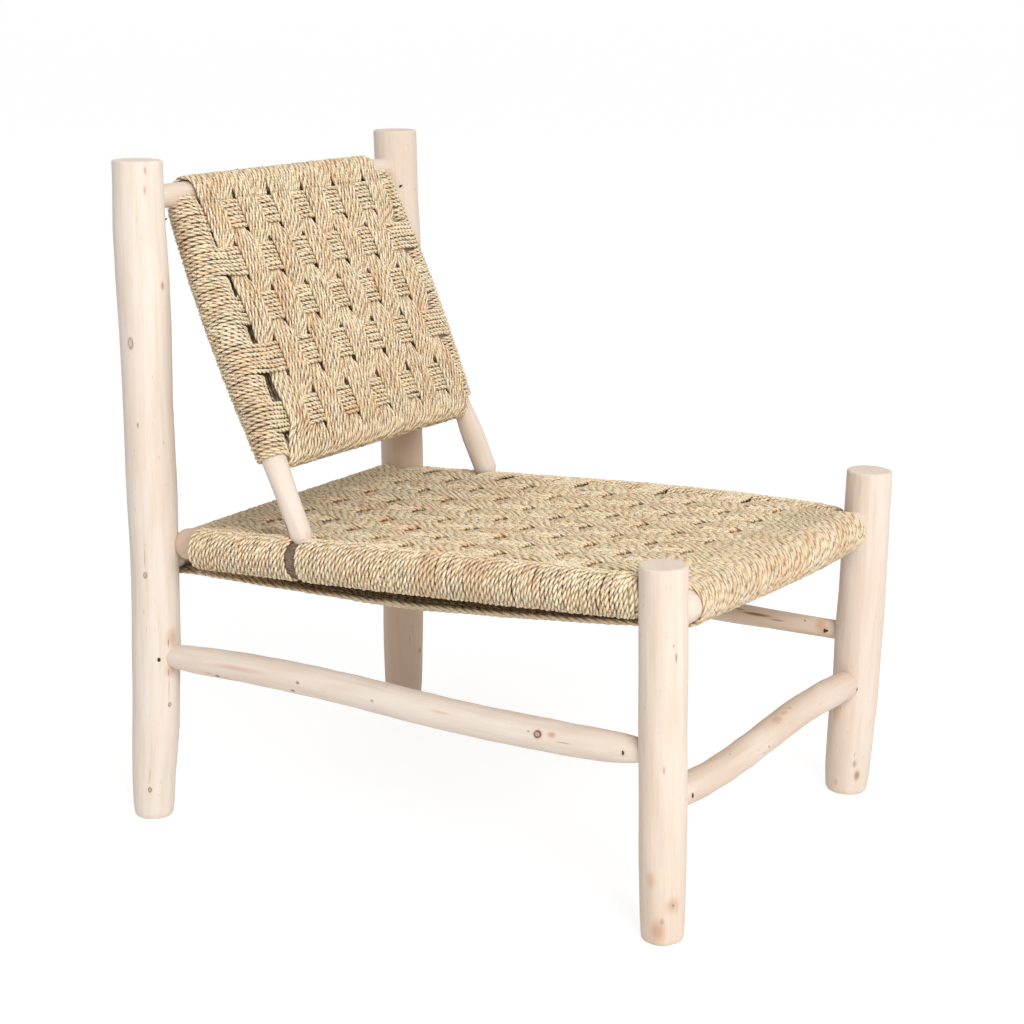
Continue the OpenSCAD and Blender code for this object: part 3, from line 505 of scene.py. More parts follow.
class Nodes:
    """The node tree of a material or of the world, built by short calls"""

    def __init__(self, owner):
        owner.use_nodes = True
        self.owner, self.tree = owner, owner.node_tree
        self.bsdf = self.tree.nodes.get("Principled BSDF")

    def node(self, kind, values):
        """A new node with its inputs set, each by a constant or by another node's output"""
        n = self.tree.nodes.new("ShaderNode" + kind)
        for key, value in values.items():
            self.put(value, n.inputs[key])
        return n

    def put(self, value, sock):
        if isinstance(value, (int, float, list, tuple)):
            sock.default_value = value
        else:
            self.tree.links.new(value, sock)

    def attr(self, name):
        n = self.node("Attribute", {})
        n.attribute_name = name
        return n

    def object_place(self):
        return self.node("TexCoord", {}).outputs["Object"]

    def scaled(self, vec, scale, offset=(0, 0, 0)):
        return self.node("Mapping", {"Scale": scale, "Location": offset, "Vector": vec}).outputs[0]

    def noise(self, vec, scale, detail=3.0, rough=0.55, offset=(0, 0, 0)):
        place = self.scaled(vec, scale, offset)
        values = {"Scale": 1.0, "Detail": detail, "Roughness": rough, "Vector": place}
        return self.node("TexNoise", values).outputs["Fac"]

    def range(self, value, a, b, lo=0.0, hi=1.0):
        """A smooth step from lo at a to hi at b"""
        n = self.node("MapRange", {0: value, 1: a, 2: b, 3: lo, 4: hi})
        n.interpolation_type = "SMOOTHSTEP"
        return n.outputs[0]

    def mix(self, fac, a, b):
        n = self.tree.nodes.new("ShaderNodeMix")
        n.data_type = "RGBA"
        for i, value in ((0, fac), (6, a), (7, b)):
            self.put(value, n.inputs[i])
        return n.outputs[2]

    def math(self, op, a, b):
        n = self.node("Math", {0: a, 1: b})
        n.operation = op
        return n.outputs[0]

    def bump(self, height, distance, strength):
        n = self.node("Bump", {"Distance": distance, "Strength": strength, "Height": height})
        self.put(n.outputs[0], self.bsdf.inputs["Normal"])

    def backdrop_rays(self):
        """1 for the rays that see floor and world as a plain white background"""
        rays = self.node("LightPath", {}).outputs
        seen = self.math("MAXIMUM", rays["Is Camera Ray"], rays["Is Glossy Ray"])
        return self.math("MAXIMUM", seen, rays["Is Transmission Ray"])

    def finish(self, colour, rough):
        self.put(colour, self.bsdf.inputs["Base Color"])
        self.put(rough, self.bsdf.inputs["Roughness"])
        return self.owner


def new_material(name):
    return Nodes(bpy.data.materials.new(name))


def rope_material(name):
    m = new_material(name)
    lay, tone = m.attr("lay"), m.attr("tone")
    vec = lay.outputs["Vector"]
    # Each ply is a bundle of leaf strips: long streaks, and patches where a new strip begins
    streak = m.noise(vec, (0.9, 0.9, 0.035), 2.0)
    fibre = m.noise(vec, (3.2, 3.2, 0.11), 3.0, 0.6, (5, 3, 1))
    patch = m.noise(vec, (0.12, 0.12, 0.022), 2.0, 0.5, (40, 7, 3))
    zone = m.noise(m.object_place(), (17, 17, 17), 2.0, 0.5)
    patch = m.math("ADD", m.math("MULTIPLY", patch, 0.5), m.math("MULTIPLY", zone, 0.5))
    pale, straw = linear(1.0, 0.955, 0.85), linear(1.0, 0.885, 0.71)
    tan, green, brown = linear(0.94, 0.79, 0.61), linear(0.94, 0.89, 0.70), linear(0.61, 0.42, 0.26)
    c = m.mix(m.range(streak, 0.34, 0.62), straw, pale)
    c = m.mix(m.range(patch, 0.50, 0.64, 0, 0.75), c, tan)
    c = m.mix(m.range(patch, 0.47, 0.38, 0, 0.55), c, green)
    c = m.mix(m.range(tone.outputs["Fac"], 0.7, 1.0, 0, 0.4), c, tan)
    c = m.mix(m.range(fibre, 0.60, 0.76, 0, 0.4), c, brown)
    # Painted shade: the groove between the plies is darker, towards brown
    out = m.node("VectorMath", {0: m.scaled(vec, (1, 1, 0))})
    out.operation = "LENGTH"
    c = m.mix(m.range(out.outputs["Value"], 1.5, 2.4, 0.75, 0.0), c, linear(0.50, 0.31, 0.16))
    # Painted shade, dark brown, on the sides that the shade attribute gives: hidden sides of the layers
    # behind, the top of the seat's rear and the front roll's front
    c = m.mix(m.attr("shade").outputs["Fac"], c, linear(0.23, 0.14, 0.08))
    m.bump(m.math("ADD", m.math("MULTIPLY", fibre, 0.7), streak), 0.0007, 0.9)
    return m.finish(c, m.range(fibre, 0.3, 0.7, 0.62, 0.86))


def wood_material(name, bark=False):
    m = new_material(name)
    vec = m.attr("grain").outputs["Vector"]
    grain = m.noise(vec, (0.16, 0.16, 0.009), 4.0, 0.55)
    fine = m.noise(vec, (1.3, 1.3, 0.03), 3.0, 0.6, (9, 4, 2))
    cloud = m.noise(vec, (0.03, 0.03, 0.008), 3.0, 0.5, (3, 8, 5))
    fleck = m.noise(vec, (0.5, 0.5, 0.075), 2.0, 0.5, (17, 2, 11))
    c = m.mix(m.range(grain, 0.40, 0.70, 0, 0.5), linear(0.90, 0.85, 0.80), linear(0.855, 0.775, 0.69))
    c = m.mix(m.range(cloud, 0.45, 0.72, 0, 0.55), c, linear(0.885, 0.80, 0.725))
    # Each piece's tan, part of which is painted shade
    c = m.mix(m.attr("tan").outputs["Fac"], c, linear(0.78, 0.63, 0.49))
    c = m.mix(m.range(fine, 0.57, 0.77, 0, 0.14), c, linear(0.72, 0.58, 0.44))
    c = m.mix(m.range(fleck, 0.71, 0.77, 0, 0.5), c, linear(0.60, 0.41, 0.28))
    if bark:
        strip = m.noise(vec, (0.9, 0.9, 0.14), 4.0, 0.7, (2, 2, 2))
        brown = m.mix(m.range(strip, 0.35, 0.62), linear(0.25, 0.19, 0.16), linear(0.56, 0.46, 0.39))
        c = m.mix(m.attr("bark").outputs["Fac"], c, brown)
    c = m.mix(m.attr("stain").outputs["Fac"], c, linear(0.78, 0.52, 0.30))
    # Branch marks, and painted shade on the wood under the rope
    c = m.mix(m.attr("marks_and_shade").outputs["Fac"], c, linear(0.30, 0.19, 0.12))
    m.bump(m.math("ADD", m.math("MULTIPLY", fine, 0.6), grain), 0.0009 if bark else 0.0006, 0.8)
    return m.finish(c, m.range(fine, 0.3, 0.7, 0.55, 0.72))


def iron_material():
    m = new_material("iron")
    m.bsdf.inputs["Metallic"].default_value = 0.8
    rust = m.noise(m.object_place(), (900, 900, 900), 3.0)
    return m.finish(m.mix(m.range(rust, 0.4, 0.65), linear(0.24, 0.21, 0.19), linear(0.36, 0.22, 0.14)), 0.55)


ROPE_MAT = rope_material("palm_rope")
WOOD_MAT = wood_material("peeled_wood")
BARK_MAT = wood_material("bark_wood", bark=True)

# Seat

# Length of a rope's full twist in the warp and in the weft
WARP_LAY, WEFT_LAY = 23.0, 18.0
# Ropes in a band of the seat's warp and of the weft, and in one of the back's warp
SEAT_ROPES, BACK_ROPES = 7, 6
# How far a band's edge bulges between two crossings
FLARE = 1.9
# Height of a band's rounded top in the warp and in the weft, and how much lower its edges are
WARP_CROWN, WEFT_CROWN, CROWN_EDGE = 0.9, 0.8, 0.4
# Painted shade: how dark the hidden side of the lower layers is, and how far the top of the seat's rear
# (painted shadow of the back, and browner rope) and the front of the front roll are darkened towards brown
HIDDEN_SHADE, REAR_SHADE, FRONT_SHADE = 0.9, 0.21, 0.13
NONE = (0, 0, 0)
# How far a band's outermost ropes are from its middle where the rows cross them
OUTERMOST = 15
# Points on a rope's face in the seat's warp and weft and in the back's, and on its turns
SEAT_WARP_N, SEAT_WEFT_N, BACK_WARP_N, BACK_WEFT_N = 290, 230, 120, 200
SEAT_TURN_N, WEFT_TURN_N, BACK_TURN_N = 26, 24, 22
# Points on a hidden run of warp and of weft
WARP_RUN_N, WEFT_RUN_N = 60, 40
AHEAD = np.array([0.0, -1.0, 0.0])
# How far forward the last row slants to the turns on the near rail, and over which width
SLANT, SLANT_RUN = 24, 90
# The front roll hangs lower than its rail: share of the width, millimetres
ROLL = ((0, 0.2, 0.4, 0.6, 0.8, 1), (0, 2, 5, 7, 8, 6))
# The near edge of the lower layer hangs lower: share of the depth, millimetres
HANG = ((0, 0.1, 0.5, 0.62, 0.75, 0.86, 0.93, 1), (0, 5, 8, 6, 2, -3.5, -6.5, -13))
# The turns on the left rail rise above it: share of the depth, millimetres
RISE = ((0, 0.08, 0.2, 0.32, 0.45, 0.63, 0.9, 1), (4, 10, 11, 10.5, 9, 4.5, -1, -2))


def facing(*parts):
    """Which side of a rope has painted shade: numbers of points, and the shaded side's direction for each"""
    return np.vstack([np.broadcast_to(np.asarray(way, float), (n, 3)) for n, way in parts])


def rear_shade(y):
    """The rear of the seat is a little darker and browner on top: painted shadow of the back, and browner
    rope
    """
    return REAR_SHADE * smooth((seat_v(y) - 0.5) / 0.3)[..., None] * UP


def levels(up):
    return [1.0 if u else -1.0 for u in up]


def row_line(row, x):
    """A weft band's middle"""
    slant = SLANT * (row == ROWS - 1)
    return row_y(row, x) - slant * (1 - smooth((x - EDGE[0]) / SLANT_RUN))


def rim(m, col, q):
    e = end_edge(m)
    return col_at(e, col + 0.5) + q * ((e[1] - e[0]) / COLS / 2 - GAP - ROPE / 2)


def seat_warp_face(col, q):
    """A warp rope over and under the weft; q is its place in the band, from -1 to 1"""
    cx = col_at(EDGE, col + 0.5)
    up = [not over(col, row) for row in range(ROWS)]
    rows = [float(row_line(row, cx + q * OUTERMOST)) for row in range(ROWS)]
    knots = [y + e * (WEFT / 2 - 2) for y in rows for e in (-1, 1)]
    y = np.linspace(knots[0] - 30, knots[-1] + 12, SEAT_WARP_N)
    wide = [knots[0] - 80, knots[0] - 16] + knots + [knots[-1] + 16, knots[-1] + 40]
    widths = [PITCH / 2] + [float(half_w(PITCH, u)) for u in up] + [PITCH / 2]
    x = cx + q * (profile(y, wide, widths) + between(y, knots, FLARE) - ROPE / 2)
    z = seat_z(x, y) + LIFT * profile(y, wide, [0.0] + levels(up) + [0.0])
    z += crown(y, knots, levels(up), WARP_CROWN - CROWN_EDGE * q * q)
    return np.stack([x, y, z], -1)


def seat_warp_low(col, q, k, roll):
    """The same rope's way back under the seat, and how much painted shade its upper side has"""
    y = np.linspace(lerp(REAR_Y, FRONT_Y, 0.05), lerp(REAR_Y, FRONT_Y, 0.95), WARP_RUN_N)
    v = seat_v(y)
    low = lower(k, y)
    low[:, 2] -= abs(rng.normal(0, 1)) * np.sin(np.pi * v) ** 0.7
    # The outermost ropes hang less, so that the near edge is seen as a bundle
    from_edge = col * SEAT_ROPES + round(3 * q + 3)
    near = max(0.0, 1 - col / 4) * min(1.0, 0.3 + 0.35 * from_edge)
    low[:, 2] -= near * np.interp(v, *HANG) + roll * (1 - v) ** 5
    # Painted shade on the run's upper side, none on the first ropes of the near edge
    return low, float(np.clip(0.25 * (from_edge - 2), 0, HIDDEN_SHADE))


def seat_warp():
    ropes = Ropes(WARP_LAY)
    rear = end_edge(REAR)
    for col in range(COLS):
        for q in np.linspace(-1, 1, SEAT_ROPES):
            face = seat_warp_face(col, q)
            k = col + 0.5 + q * (0.5 - (GAP + ROPE / 2) * COLS / (rear[1] - rear[0]))
            roll = float(np.interp((k - 0.5) / (COLS - 1), *ROLL))
            low, low_shade = seat_warp_low(col, q, k, roll)
            turns = []
            for m, o, a, b in ((REAR, -AHEAD, face[-1], low[0]), (FRONT, AHEAD, face[0], low[-1])):
                xe = rim(m, col, q)
                drop = roll if m is FRONT else 0
                c, r = m.at(0, xe) - UP * drop / 2, float(m.r_at(0, xe, m.whittle)) + MID + drop / 2
                start, end = leave(a, c, r, o, UP), -leave(b, c, r, o, -UP)
                turns.append(arc(c, r, o, UP, start, end, SEAT_TURN_N))
            path = np.vstack([face, turns[0], low, turns[1][::-1]])
            # Painted shade: the back's shadow on top of the seat's rear, shade on the run's upper side and on
            # the front of the front roll
            dark = facing((len(face), rear_shade(face[:, 1])), (SEAT_TURN_N, NONE), (len(low), low_shade * UP),
                          (SEAT_TURN_N, FRONT_SHADE * AHEAD))
            ropes.add(path, [1.0, 0, 0], dark=dark)
    return ropes.piece("seat_warp_ropes", "seat_warp_bands")


def weft_knots(up, pitch):
    """Where a weft rope lies level over or under each warp band, in columns"""
    out = []
    for col, u in enumerate(up):
        half = (float(half_w(pitch, not u)) - 2.2) / pitch
        out += [col + 0.5 - half, col + 0.5 + half]
    return out


def weft_loop(ropes, face, joints, n, side, face_shade, run_shade):
    """A weft rope: its face, a turn of n points at its left and right end, and the hidden run between, the
    face and the run with painted shade as given
    """
    turns = []
    for end, (c, r, o, f, p) in zip((face[-1], face[0]), joints):
        turns.append(arc(c, r, o, f, leave(end, c, r, o, f), -leave(p, c, r, o, -f), n))
    foot = joints[0][4]
    run = foot + np.linspace(0, 1, WEFT_RUN_N)[:, None] * (joints[1][4] - foot)
    path = np.vstack([face, turns[0], run, turns[1][::-1]])
    dark = facing((len(face), face_shade), (n, NONE), (len(run), run_shade), (n, NONE))
    ropes.add(path, side, loose=0.45, dark=dark)


def rise(side, y):
    return side * np.interp(seat_v(y), *RISE) / 2


def side_frame(side):
    """A side rail with the directions outward and up, square to it"""
    m = SIDES[side]
    out = np.array([2.0 * side - 1, 0, 0])
    out = unit(out - m.dir * (m.dir @ out))
    return m, out, (1 - 2 * side) * np.cross(out, m.dir)


def seat_joint(side, y):
    """A weft rope's turn round a side rail, and where it ends under the seat"""
    m, o, f = side_frame(side)
    c, r = m.at(1, y) + rise(side, y) * UP, float(m.r_at(1, y) + rise(side, y)) + MID
    p = lower(side * COLS, np.float64(y))
    p[2] = max(p[2] + ROPE + 3 * GAP, c[2] - r)
    return c, r, o, f, p


def seat_weft():
    ropes = Ropes(WEFT_LAY)
    for row in range(ROWS):
        up = [over(col, row) for col in range(COLS)]
        knots = [col_at(EDGE, k) for k in weft_knots(up, PITCH)]
        x = np.linspace(knots[0], knots[-1], SEAT_WEFT_N)
        level = profile(x, knots, levels(up))
        # A covered stretch is a little narrower
        pinch = 1 - 0.03 * (1 - level) / 2
        for q in np.linspace(-1, 1, SEAT_ROPES):
            aside = q * (WEFT / 2 - ROPE / 2)
            y = row_line(row, x) + aside * pinch
            z = seat_z(x, y) + LIFT * level + crown(x, knots, levels(up), WEFT_CROWN - CROWN_EDGE * q * q)
            joints = [seat_joint(side, float(row_line(row, EDGE[side])) + aside) for side in (1, 0)]
            face = np.stack([x, y, z], -1)
            # Painted shade on top of the seat's rear and on the hidden run's upper side
            weft_loop(ropes, face, joints, WEFT_TURN_N, [0, 1.0, 0], rear_shade(y), HIDDEN_SHADE * UP)
    return ropes.piece("seat_weft_ropes", "seat_weft_bands")


# Turns round the side rails and stiles: distance from one to the next, points in each, and the angle
# at which their ends tuck in
TURN, TURN_POINTS, TUCK_AT = 5.3, 26, -2.2
# Distance of the side rails' first turns from the front posts, and of their last from the rear posts
WRAP_FROM, WRAP_TO = 20, (74, 46)
# A stile's foot stands between two turns in a gap that is wider than this
FOOT_GAP = 20


def coil(ropes, centre, radius, out, face, axis, length, start=TUCK_AT, push=None):
    """Turns side by side round a limb, whose ends tuck in on the hidden side"""
    n = max(1, int(round(length / TURN)))
    t = np.linspace(0, 1, TURN_POINTS * n + 4)
    ang = start + t * 2 * np.pi * n
    s = t * length
    if push:
        s = push(s, np.cos(ang))
    tuck = np.minimum(smooth(t * n * 8), smooth((1 - t) * n * 8))
    r = radius(s) + MID - ROPE * 0.8 * (1 - tuck)
    p = centre(s) + r[:, None] * (np.cos(ang)[:, None] * out + np.sin(ang)[:, None] * face)
    ropes.add(p, axis, closed=False, loose=0.4)


def rail_coil(ropes, side, a, b, first):
    m, o, f = side_frame(side)

    def centre(s):
        return m.at(1, a + s) + col3(rise(side, a + s)) * UP

    def radius(s):
        return m.r_at(1, a + s) + rise(side, a + s)

    def push(s, sideways):
        # The turns beside the front post bend round it
        return s + 8.5 * (1 - np.abs(sideways) ** 1.3) * (1 - s / (b - a))

    coil(ropes, centre, radius, o, f, [0, 1.0, 0], b - a, start=-2.4 + rng.uniform(-0.3, 0.3),
         push=push if first else None)


def rail_wraps(side, name, node):
    ropes = Ropes(WEFT_LAY)
    half = (WEFT + GAP) / 2
    rows = [float(row_line(row, EDGE[side])) for row in range(ROWS)]
    starts = [FRONT_Y + WRAP_FROM] + [y + half for y in rows]
    ends = [y - half for y in rows] + [REAR_Y - WRAP_TO[side]]
    spans = list(zip(starts, ends))
    a, b = spans.pop(STILE_AFTER[side])
    spans = [(c, d) for c, d in spans if d - c > 3]
    if b - a > FOOT_GAP:
        spans += [(a, a + TURN), (b - TURN, b)]
    for a, b in spans:
        rail_coil(ropes, side, a, b, a == starts[0])
    return ropes.piece(name, node)


# Back

# The back's usual distance from one warp band to the next
BACK_PITCH = 37.0
# How much the turns on the stiles stand out in the middle of their run
PLUMP = 3.0
# Where the turns on the stiles begin, and where they end on each stile
TURNS_TOP, TURNS_FOOT = 0.012, (1.018, 0.985)


def reach(k, v):
    """The first bands lean towards the right stile where they come to the crossbar"""
    return 0.5 * smooth((v - 0.9) / 0.1) * np.clip(1 - k / 3, 0, 1)


def back_warp_face(col, q):
    """A warp rope over and under the weft; q is its place in the band, from -1 to 1"""
    up = [not over(col, row) for row in range(len(BACK_ROWS))]
    knots = [v + e * (ROW_HALF - 2 / BACK_LEN) for v in BACK_ROWS for e in (-1, 1)]
    v = np.linspace(knots[0] - 0.006, knots[-1] + 0.02, BACK_WARP_N)
    wide = [-0.2, knots[0] - 0.04] + knots + [knots[-1] + 0.035, 1.2]
    widths = [float(half_w(back_pitch(v), u)) / float(back_pitch(v)) for v, u in zip(BACK_ROWS, up)]
    half = profile(v, wide, [0.5] + widths + [0.5]) + between(v, knots, FLARE / BACK_PITCH)
    k = col + 0.5 + q * (half - ROPE / 2 / back_pitch(v))
    n = LIFT * profile(v, wide, [0.0] + levels(up) + [0.0])
    n += crown(v, knots, levels(up), WARP_CROWN - CROWN_EDGE * q * q)
    return back_point(k - reach(k, v), v, face_n(v) + n)


def back_warp_turn(col, q, at, end):
    """The rope's turn round the crossbar (at 1) or the top rail (at 0), from the end of its face"""
    k = col + 0.5 + q * (0.5 - (GAP + ROPE / 2) / float(back_pitch(at)))
    c = back_point(k - float(reach(k, at)), at, 0.0)
    r = (CROSS_D / 2 if at else float(TOP.r_at(0, c[0])) + 2.2) + MID
    o, f = (DOWN if at else -DOWN), back_front(at)
    return arc(c, r, o, f, leave(end, c, r, o, f), -np.pi / 2, WEFT_TURN_N)


def back_warp():
    ropes = Ropes(WARP_LAY)
    for col in range(BACK_COLS):
        for q in np.linspace(-1, 1, BACK_ROPES):
            face = back_warp_face(col, q)
            foot = back_warp_turn(col, q, 1.0, face[-1])
            top = back_warp_turn(col, q, 0.0, face[0])[::-1]
            run = foot[-1] + np.linspace(0.02, 0.98, WARP_RUN_N)[:, None] * (top[0] - foot[-1])
            path = np.vstack([face, foot, run, top])
            # Painted shade on the hidden run's side that faces the back's face
            dark = facing((len(face) + len(foot), NONE), (len(run), HIDDEN_SHADE * back_front(0.5)), (len(top), NONE))
            ropes.add(path, across(0.5), dark=dark)
    return ropes.piece("back_warp_ropes", "back_warp_bands")


def plump(v):
    return PLUMP * np.sin(np.pi * np.clip(v, 0, 1)) ** 0.8


def stile_frame(side, v):
    """The directions outward and forward, square to a stile"""
    o = (2 * side - 1) * across(v)
    o = unit(o - STILE_DIR[side] * (STILE_DIR[side] @ o))
    return o, (2 * side - 1) * np.cross(o, STILE_DIR[side])


def stile_ring(side, v, o):
    """Middle and radius of the wood that the turns go round, as full as the turns are"""
    return back_side(side, v) + col3(plump(v)) * o, back_r(side, v) + 1.2 * plump(v)


def back_joint(side, v):
    """A weft rope's turn round a stile, and where it ends behind the back"""
    o, f = stile_frame(side, v)
    c, r = stile_ring(side, v, o)
    return c, float(r) + MID, o, f, back_point(side * BACK_COLS, v, -face_n(v) - 2 * (LIFT + GAP), 0.0)


def back_weft():
    ropes = Ropes(WEFT_LAY)
    for row, mid in enumerate(BACK_ROWS):
        up = [over(col, row) for col in range(BACK_COLS)]
        knots = weft_knots(up, float(back_pitch(mid)))
        k = np.linspace(knots[0], knots[-1], BACK_WEFT_N)
        for q in np.linspace(-1, 1, SEAT_ROPES):
            v = mid + q * (ROW_HALF - ROPE / 2 / BACK_LEN)
            n = face_n(v) + LIFT * profile(k, knots, levels(up))
            n += crown(k, knots, levels(up), WEFT_CROWN - CROWN_EDGE * q * q)
            face = back_point(k, np.full(len(k), v), n)
            joints = [back_joint(side, v) for side in (1, 0)]
            # Painted shade on the hidden run's side that faces the back's face
            weft_loop(ropes, face, joints, BACK_TURN_N, DOWN, NONE, HIDDEN_SHADE * back_front(0.5))
    return ropes.piece("back_weft_ropes", "back_weft_bands")


def stile_coil(ropes, side, a, b):
    run = np.linalg.norm(BAR[side] - STILE_TOP[side])
    o, f = stile_frame(side, a)

    def ring(s):
        return stile_ring(side, a + s / run, o)

    if (b - a) * run > 4:
        coil(ropes, lambda s: ring(s)[0], lambda s: ring(s)[1], o, f, -STILE_DIR[side], (b - a) * run)


def stile_wraps(side, name, node):
    ropes = Ropes(WEFT_LAY)
    room = ROW_HALF + GAP / 2 / BACK_LEN
    starts = [TURNS_TOP] + [v + room for v in BACK_ROWS]
    ends = [v - room for v in BACK_ROWS] + [TURNS_FOOT[side]]
    for a, b in zip(starts, ends):
        stile_coil(ropes, side, a, b)
    return ropes.piece(name, node)


seat_warp()
seat_weft()
rail_wraps(0, "right_rail_turns", "right_rail_wraps")
rail_wraps(1, "left_rail_turns", "left_rail_wraps")
back_warp()
back_weft()
stile_wraps(0, "right_stile_turns", "right_stile_wraps")
stile_wraps(1, "left_stile_turns", "left_stile_wraps")

# Wood

IN_POST = 7.0
# Where the rings of a branch mark lie, in half lengths or half widths from its middle
NEAR = (-1.6, -1.1, -0.7, -0.35, 0, 0.35, 0.7, 1.1, 1.6)
# Painted shade: how dark wood is under rope, so that no pale wood shines through between the turns and their
# gaps look shaded
COVERED_SHADE = 0.5
# Marks of branches: place along the piece, angle round it, half width, half length, darkness (below 0:
# a ring) and stain
MARKS = {
    "rear_right_post": [
        (790, 328, 2, 5, 0.25, 0.25), (768, 326, 2.4, 6, 0.25, 0.25), (658, 356, 2.6, 6, 0.5, 0.3),
        (592, 276, 4.4, 8, -0.6, 0.2), (496, 286, 1.6, 3.4, 0.55, 0.2), (314, 288, 3, 4.2, -0.75, 0.2),
        (336, 288, 0.9, 15, 0.3, 0.2), (150, 344, 2.6, 3.4, -0.9, 0.1), (170, 342, 0.8, 16, 0.3, 0.1),
        (41, 300, 2.6, 3.8, -0.95, 0.2), (60, 300, 0.9, 12, 0.3, 0), (234, 350, 8, 11, 0, 0.42),
        (194, 346, 7, 9, 0, 0.42), (229, 340, 0.9, 7, 0.6, 0.3), (191, 340, 0.9, 6, 0.6, 0.3)],
    "rear_left_post": [
        (69, 2, 3, 5, 0.5, 0.4), (690, 310, 1.5, 4, 0.3, 0.3), (560, 330, 1.2, 3, 0.4, 0.2)],
    "front_right_post": [
        (323, 328, 1.4, 6, 0.6, 0.3), (336, 322, 1.3, 2.6, 0.5, 0), (201, 300, 1.3, 5, 0.35, 0.25),
        (48, 324, 8, 9, 0.1, 0.35), (48, 324, 2, 2.2, 0.6, 0), (19, 286, 8, 12, 0.12, 0.4),
        (30, 296, 3, 5, 0.3, 0.2), (76, 268, 5, 10, 0.1, 0.25)],
    "front_left_post": [
        (28, 318, 4.5, 8, 0.5, 0.35), (44, 308, 3, 6, 0.35, 0.2), (110, 250, 6, 14, 0, 0.3),
        (16, 262, 3, 5, 0.1, 0.3)],
    "right_stretcher": [
        (85, 130, 2.3, 4.4, 0.95, 0.3), (72, 122, 1.1, 6, 0.4, 0.35), (98, 130, 0.9, 6, 0.4, 0.1),
        (118, 76, 3, 34, 0, 0.4), (206, 84, 2.4, 3, 0.6, 0.4), (197, 124, 2.2, 3, 0.9, 0.4),
        (310, 84, 2, 2.6, 0.4, 0.3), (525, 70, 5, 5.4, -1, 0.5), (513, 66, 1.2, 2.4, 0.6, 0),
        (542, 64, 3, 5, 0.1, 0.6), (557, 84, 0.9, 11, 0.4, 0.2), (400, 66, 1.6, 14, 0, 0.35)],
    "right_stile": [(34, 232, 3, 13, 0.75, 0.4)],
    "left_stretcher": [
        (545, 60, 2.4, 24, 0.7, 0.5), (520, 44, 1.6, 9, 0.6, 0.3), (574, 74, 1.3, 12, 0.5, 0.3),
        (634, 60, 8, 7, 0, 0.5), (612, 50, 1.6, 1.8, 0.7, 0.2)],
    "front_stretcher": [
        (130, 20, 1.5, 1.7, 0.6, 0.3), (207, 86, 2, 2.2, 0.6, 0.35), (195, 96, 1.6, 2, 0.6, 0),
        (289, 16, 2, 3.4, 0.1, 0.6), (250, 22, 5, 11, 0.1, 0.4), (272, 18, 3, 8, 0.1, 0.35)],
}
# How far the posts lie out of line: height, shift across, added radius
SWELLS = {
    "rear_right_post": [
        (0, -2.6, -0.6), (50, -2.8, -0.8), (115, 0.5, 0.6), (220, 2, 1.1), (300, 2.2, 0.4), (430, 0.8, 1.6),
        (520, -0.2, 0.6), (600, 0.7, 1.5), (665, 0, 2.5), (720, -1, 1.2), (790, 0.8, 0.2)],
    "rear_left_post": [
        (0, 0, 0.5), (100, 1, 1), (360, 3.2, 2), (560, 0.6, 1), (650, 2.8, 2.6), (720, 1, 1.2),
        (800, -0.6, 1.6)],
    "front_right_post": [(0, 0.8, 0.5), (200, 0.8, 0.8), (400, 0.8, 0.4)],
    "front_left_post": [
        (0, -3.6, 0), (80, -2.2, 0.8), (150, 0, 0.4), (250, 0.5, 1.5), (330, 0.6, 1.4), (410, 0, 1)],
}
ACROSS = np.array([0.52, -0.85, 0.0])
# How tanned each piece is, or how its tan changes along it. Part of it is painted shade: it darkens the front
# posts and the front stretcher, which face the lamps most, and the lower part of the rear left post, which
# stands in shade.
TAN_AND_SHADE = {
    "rear_left_post": lambda z: 0.5 - 0.3 * smooth((z - 330) / 300),
    "front_right_post": lambda z: 0.14 + 0.16 * (1 - smooth(z / 130)),
    "front_left_post": lambda z: 0.14,
    "front_stretcher": lambda s: 0.2 + 0.16 * np.sin(s / 60) ** 2,
    "left_stretcher": lambda s: 0.3,
    "front_seat_rail": lambda s: 0.16,
    "right_seat_rail": lambda s: 0.22 + 0.3 * (1 - smooth((s - 40) / 50)),
    "back_top_rail": lambda s: 0.25,
    "right_stile": lambda s: 0.1,
    "left_stile": lambda s: 0.1,
    "back_crossbar": lambda s: 0.2,
}
# Lengths that stay bare of rope at a limb's start and end
BARE = {"front_seat_rail": (28, 34), "rear_seat_rail": (8, 8), "left_seat_rail": (24, 2),
        "back_top_rail": (62, 52)}
# The right seat rail's bare end without bark, and where that end sits in its post
NO_BARK, REAR_END = 52, np.array([20.0, 0, -1.5])


def ripple(theta, s, seed, amount):
    """Small swells and hollows that a peeled pole has"""
    g = np.random.default_rng(seed)
    out = 0
    for _ in range(14):
        k = g.integers(1, 6)
        length = g.uniform(50, 300)
        round_it = g.normal(0, 1) * np.cos(k * theta + g.uniform(0, 6.3))
        out = out + round_it * np.cos(2 * np.pi * s / length + g.uniform(0, 6.3))
    return amount * out / 3.7


def finer(values, extra, gap):
    """Values in order with extra ones added, none closer together than the gap"""
    out = []
    for v in sorted(list(extra) + list(values)):
        if not out or v - out[-1] > gap:
            out.append(v)
    return out


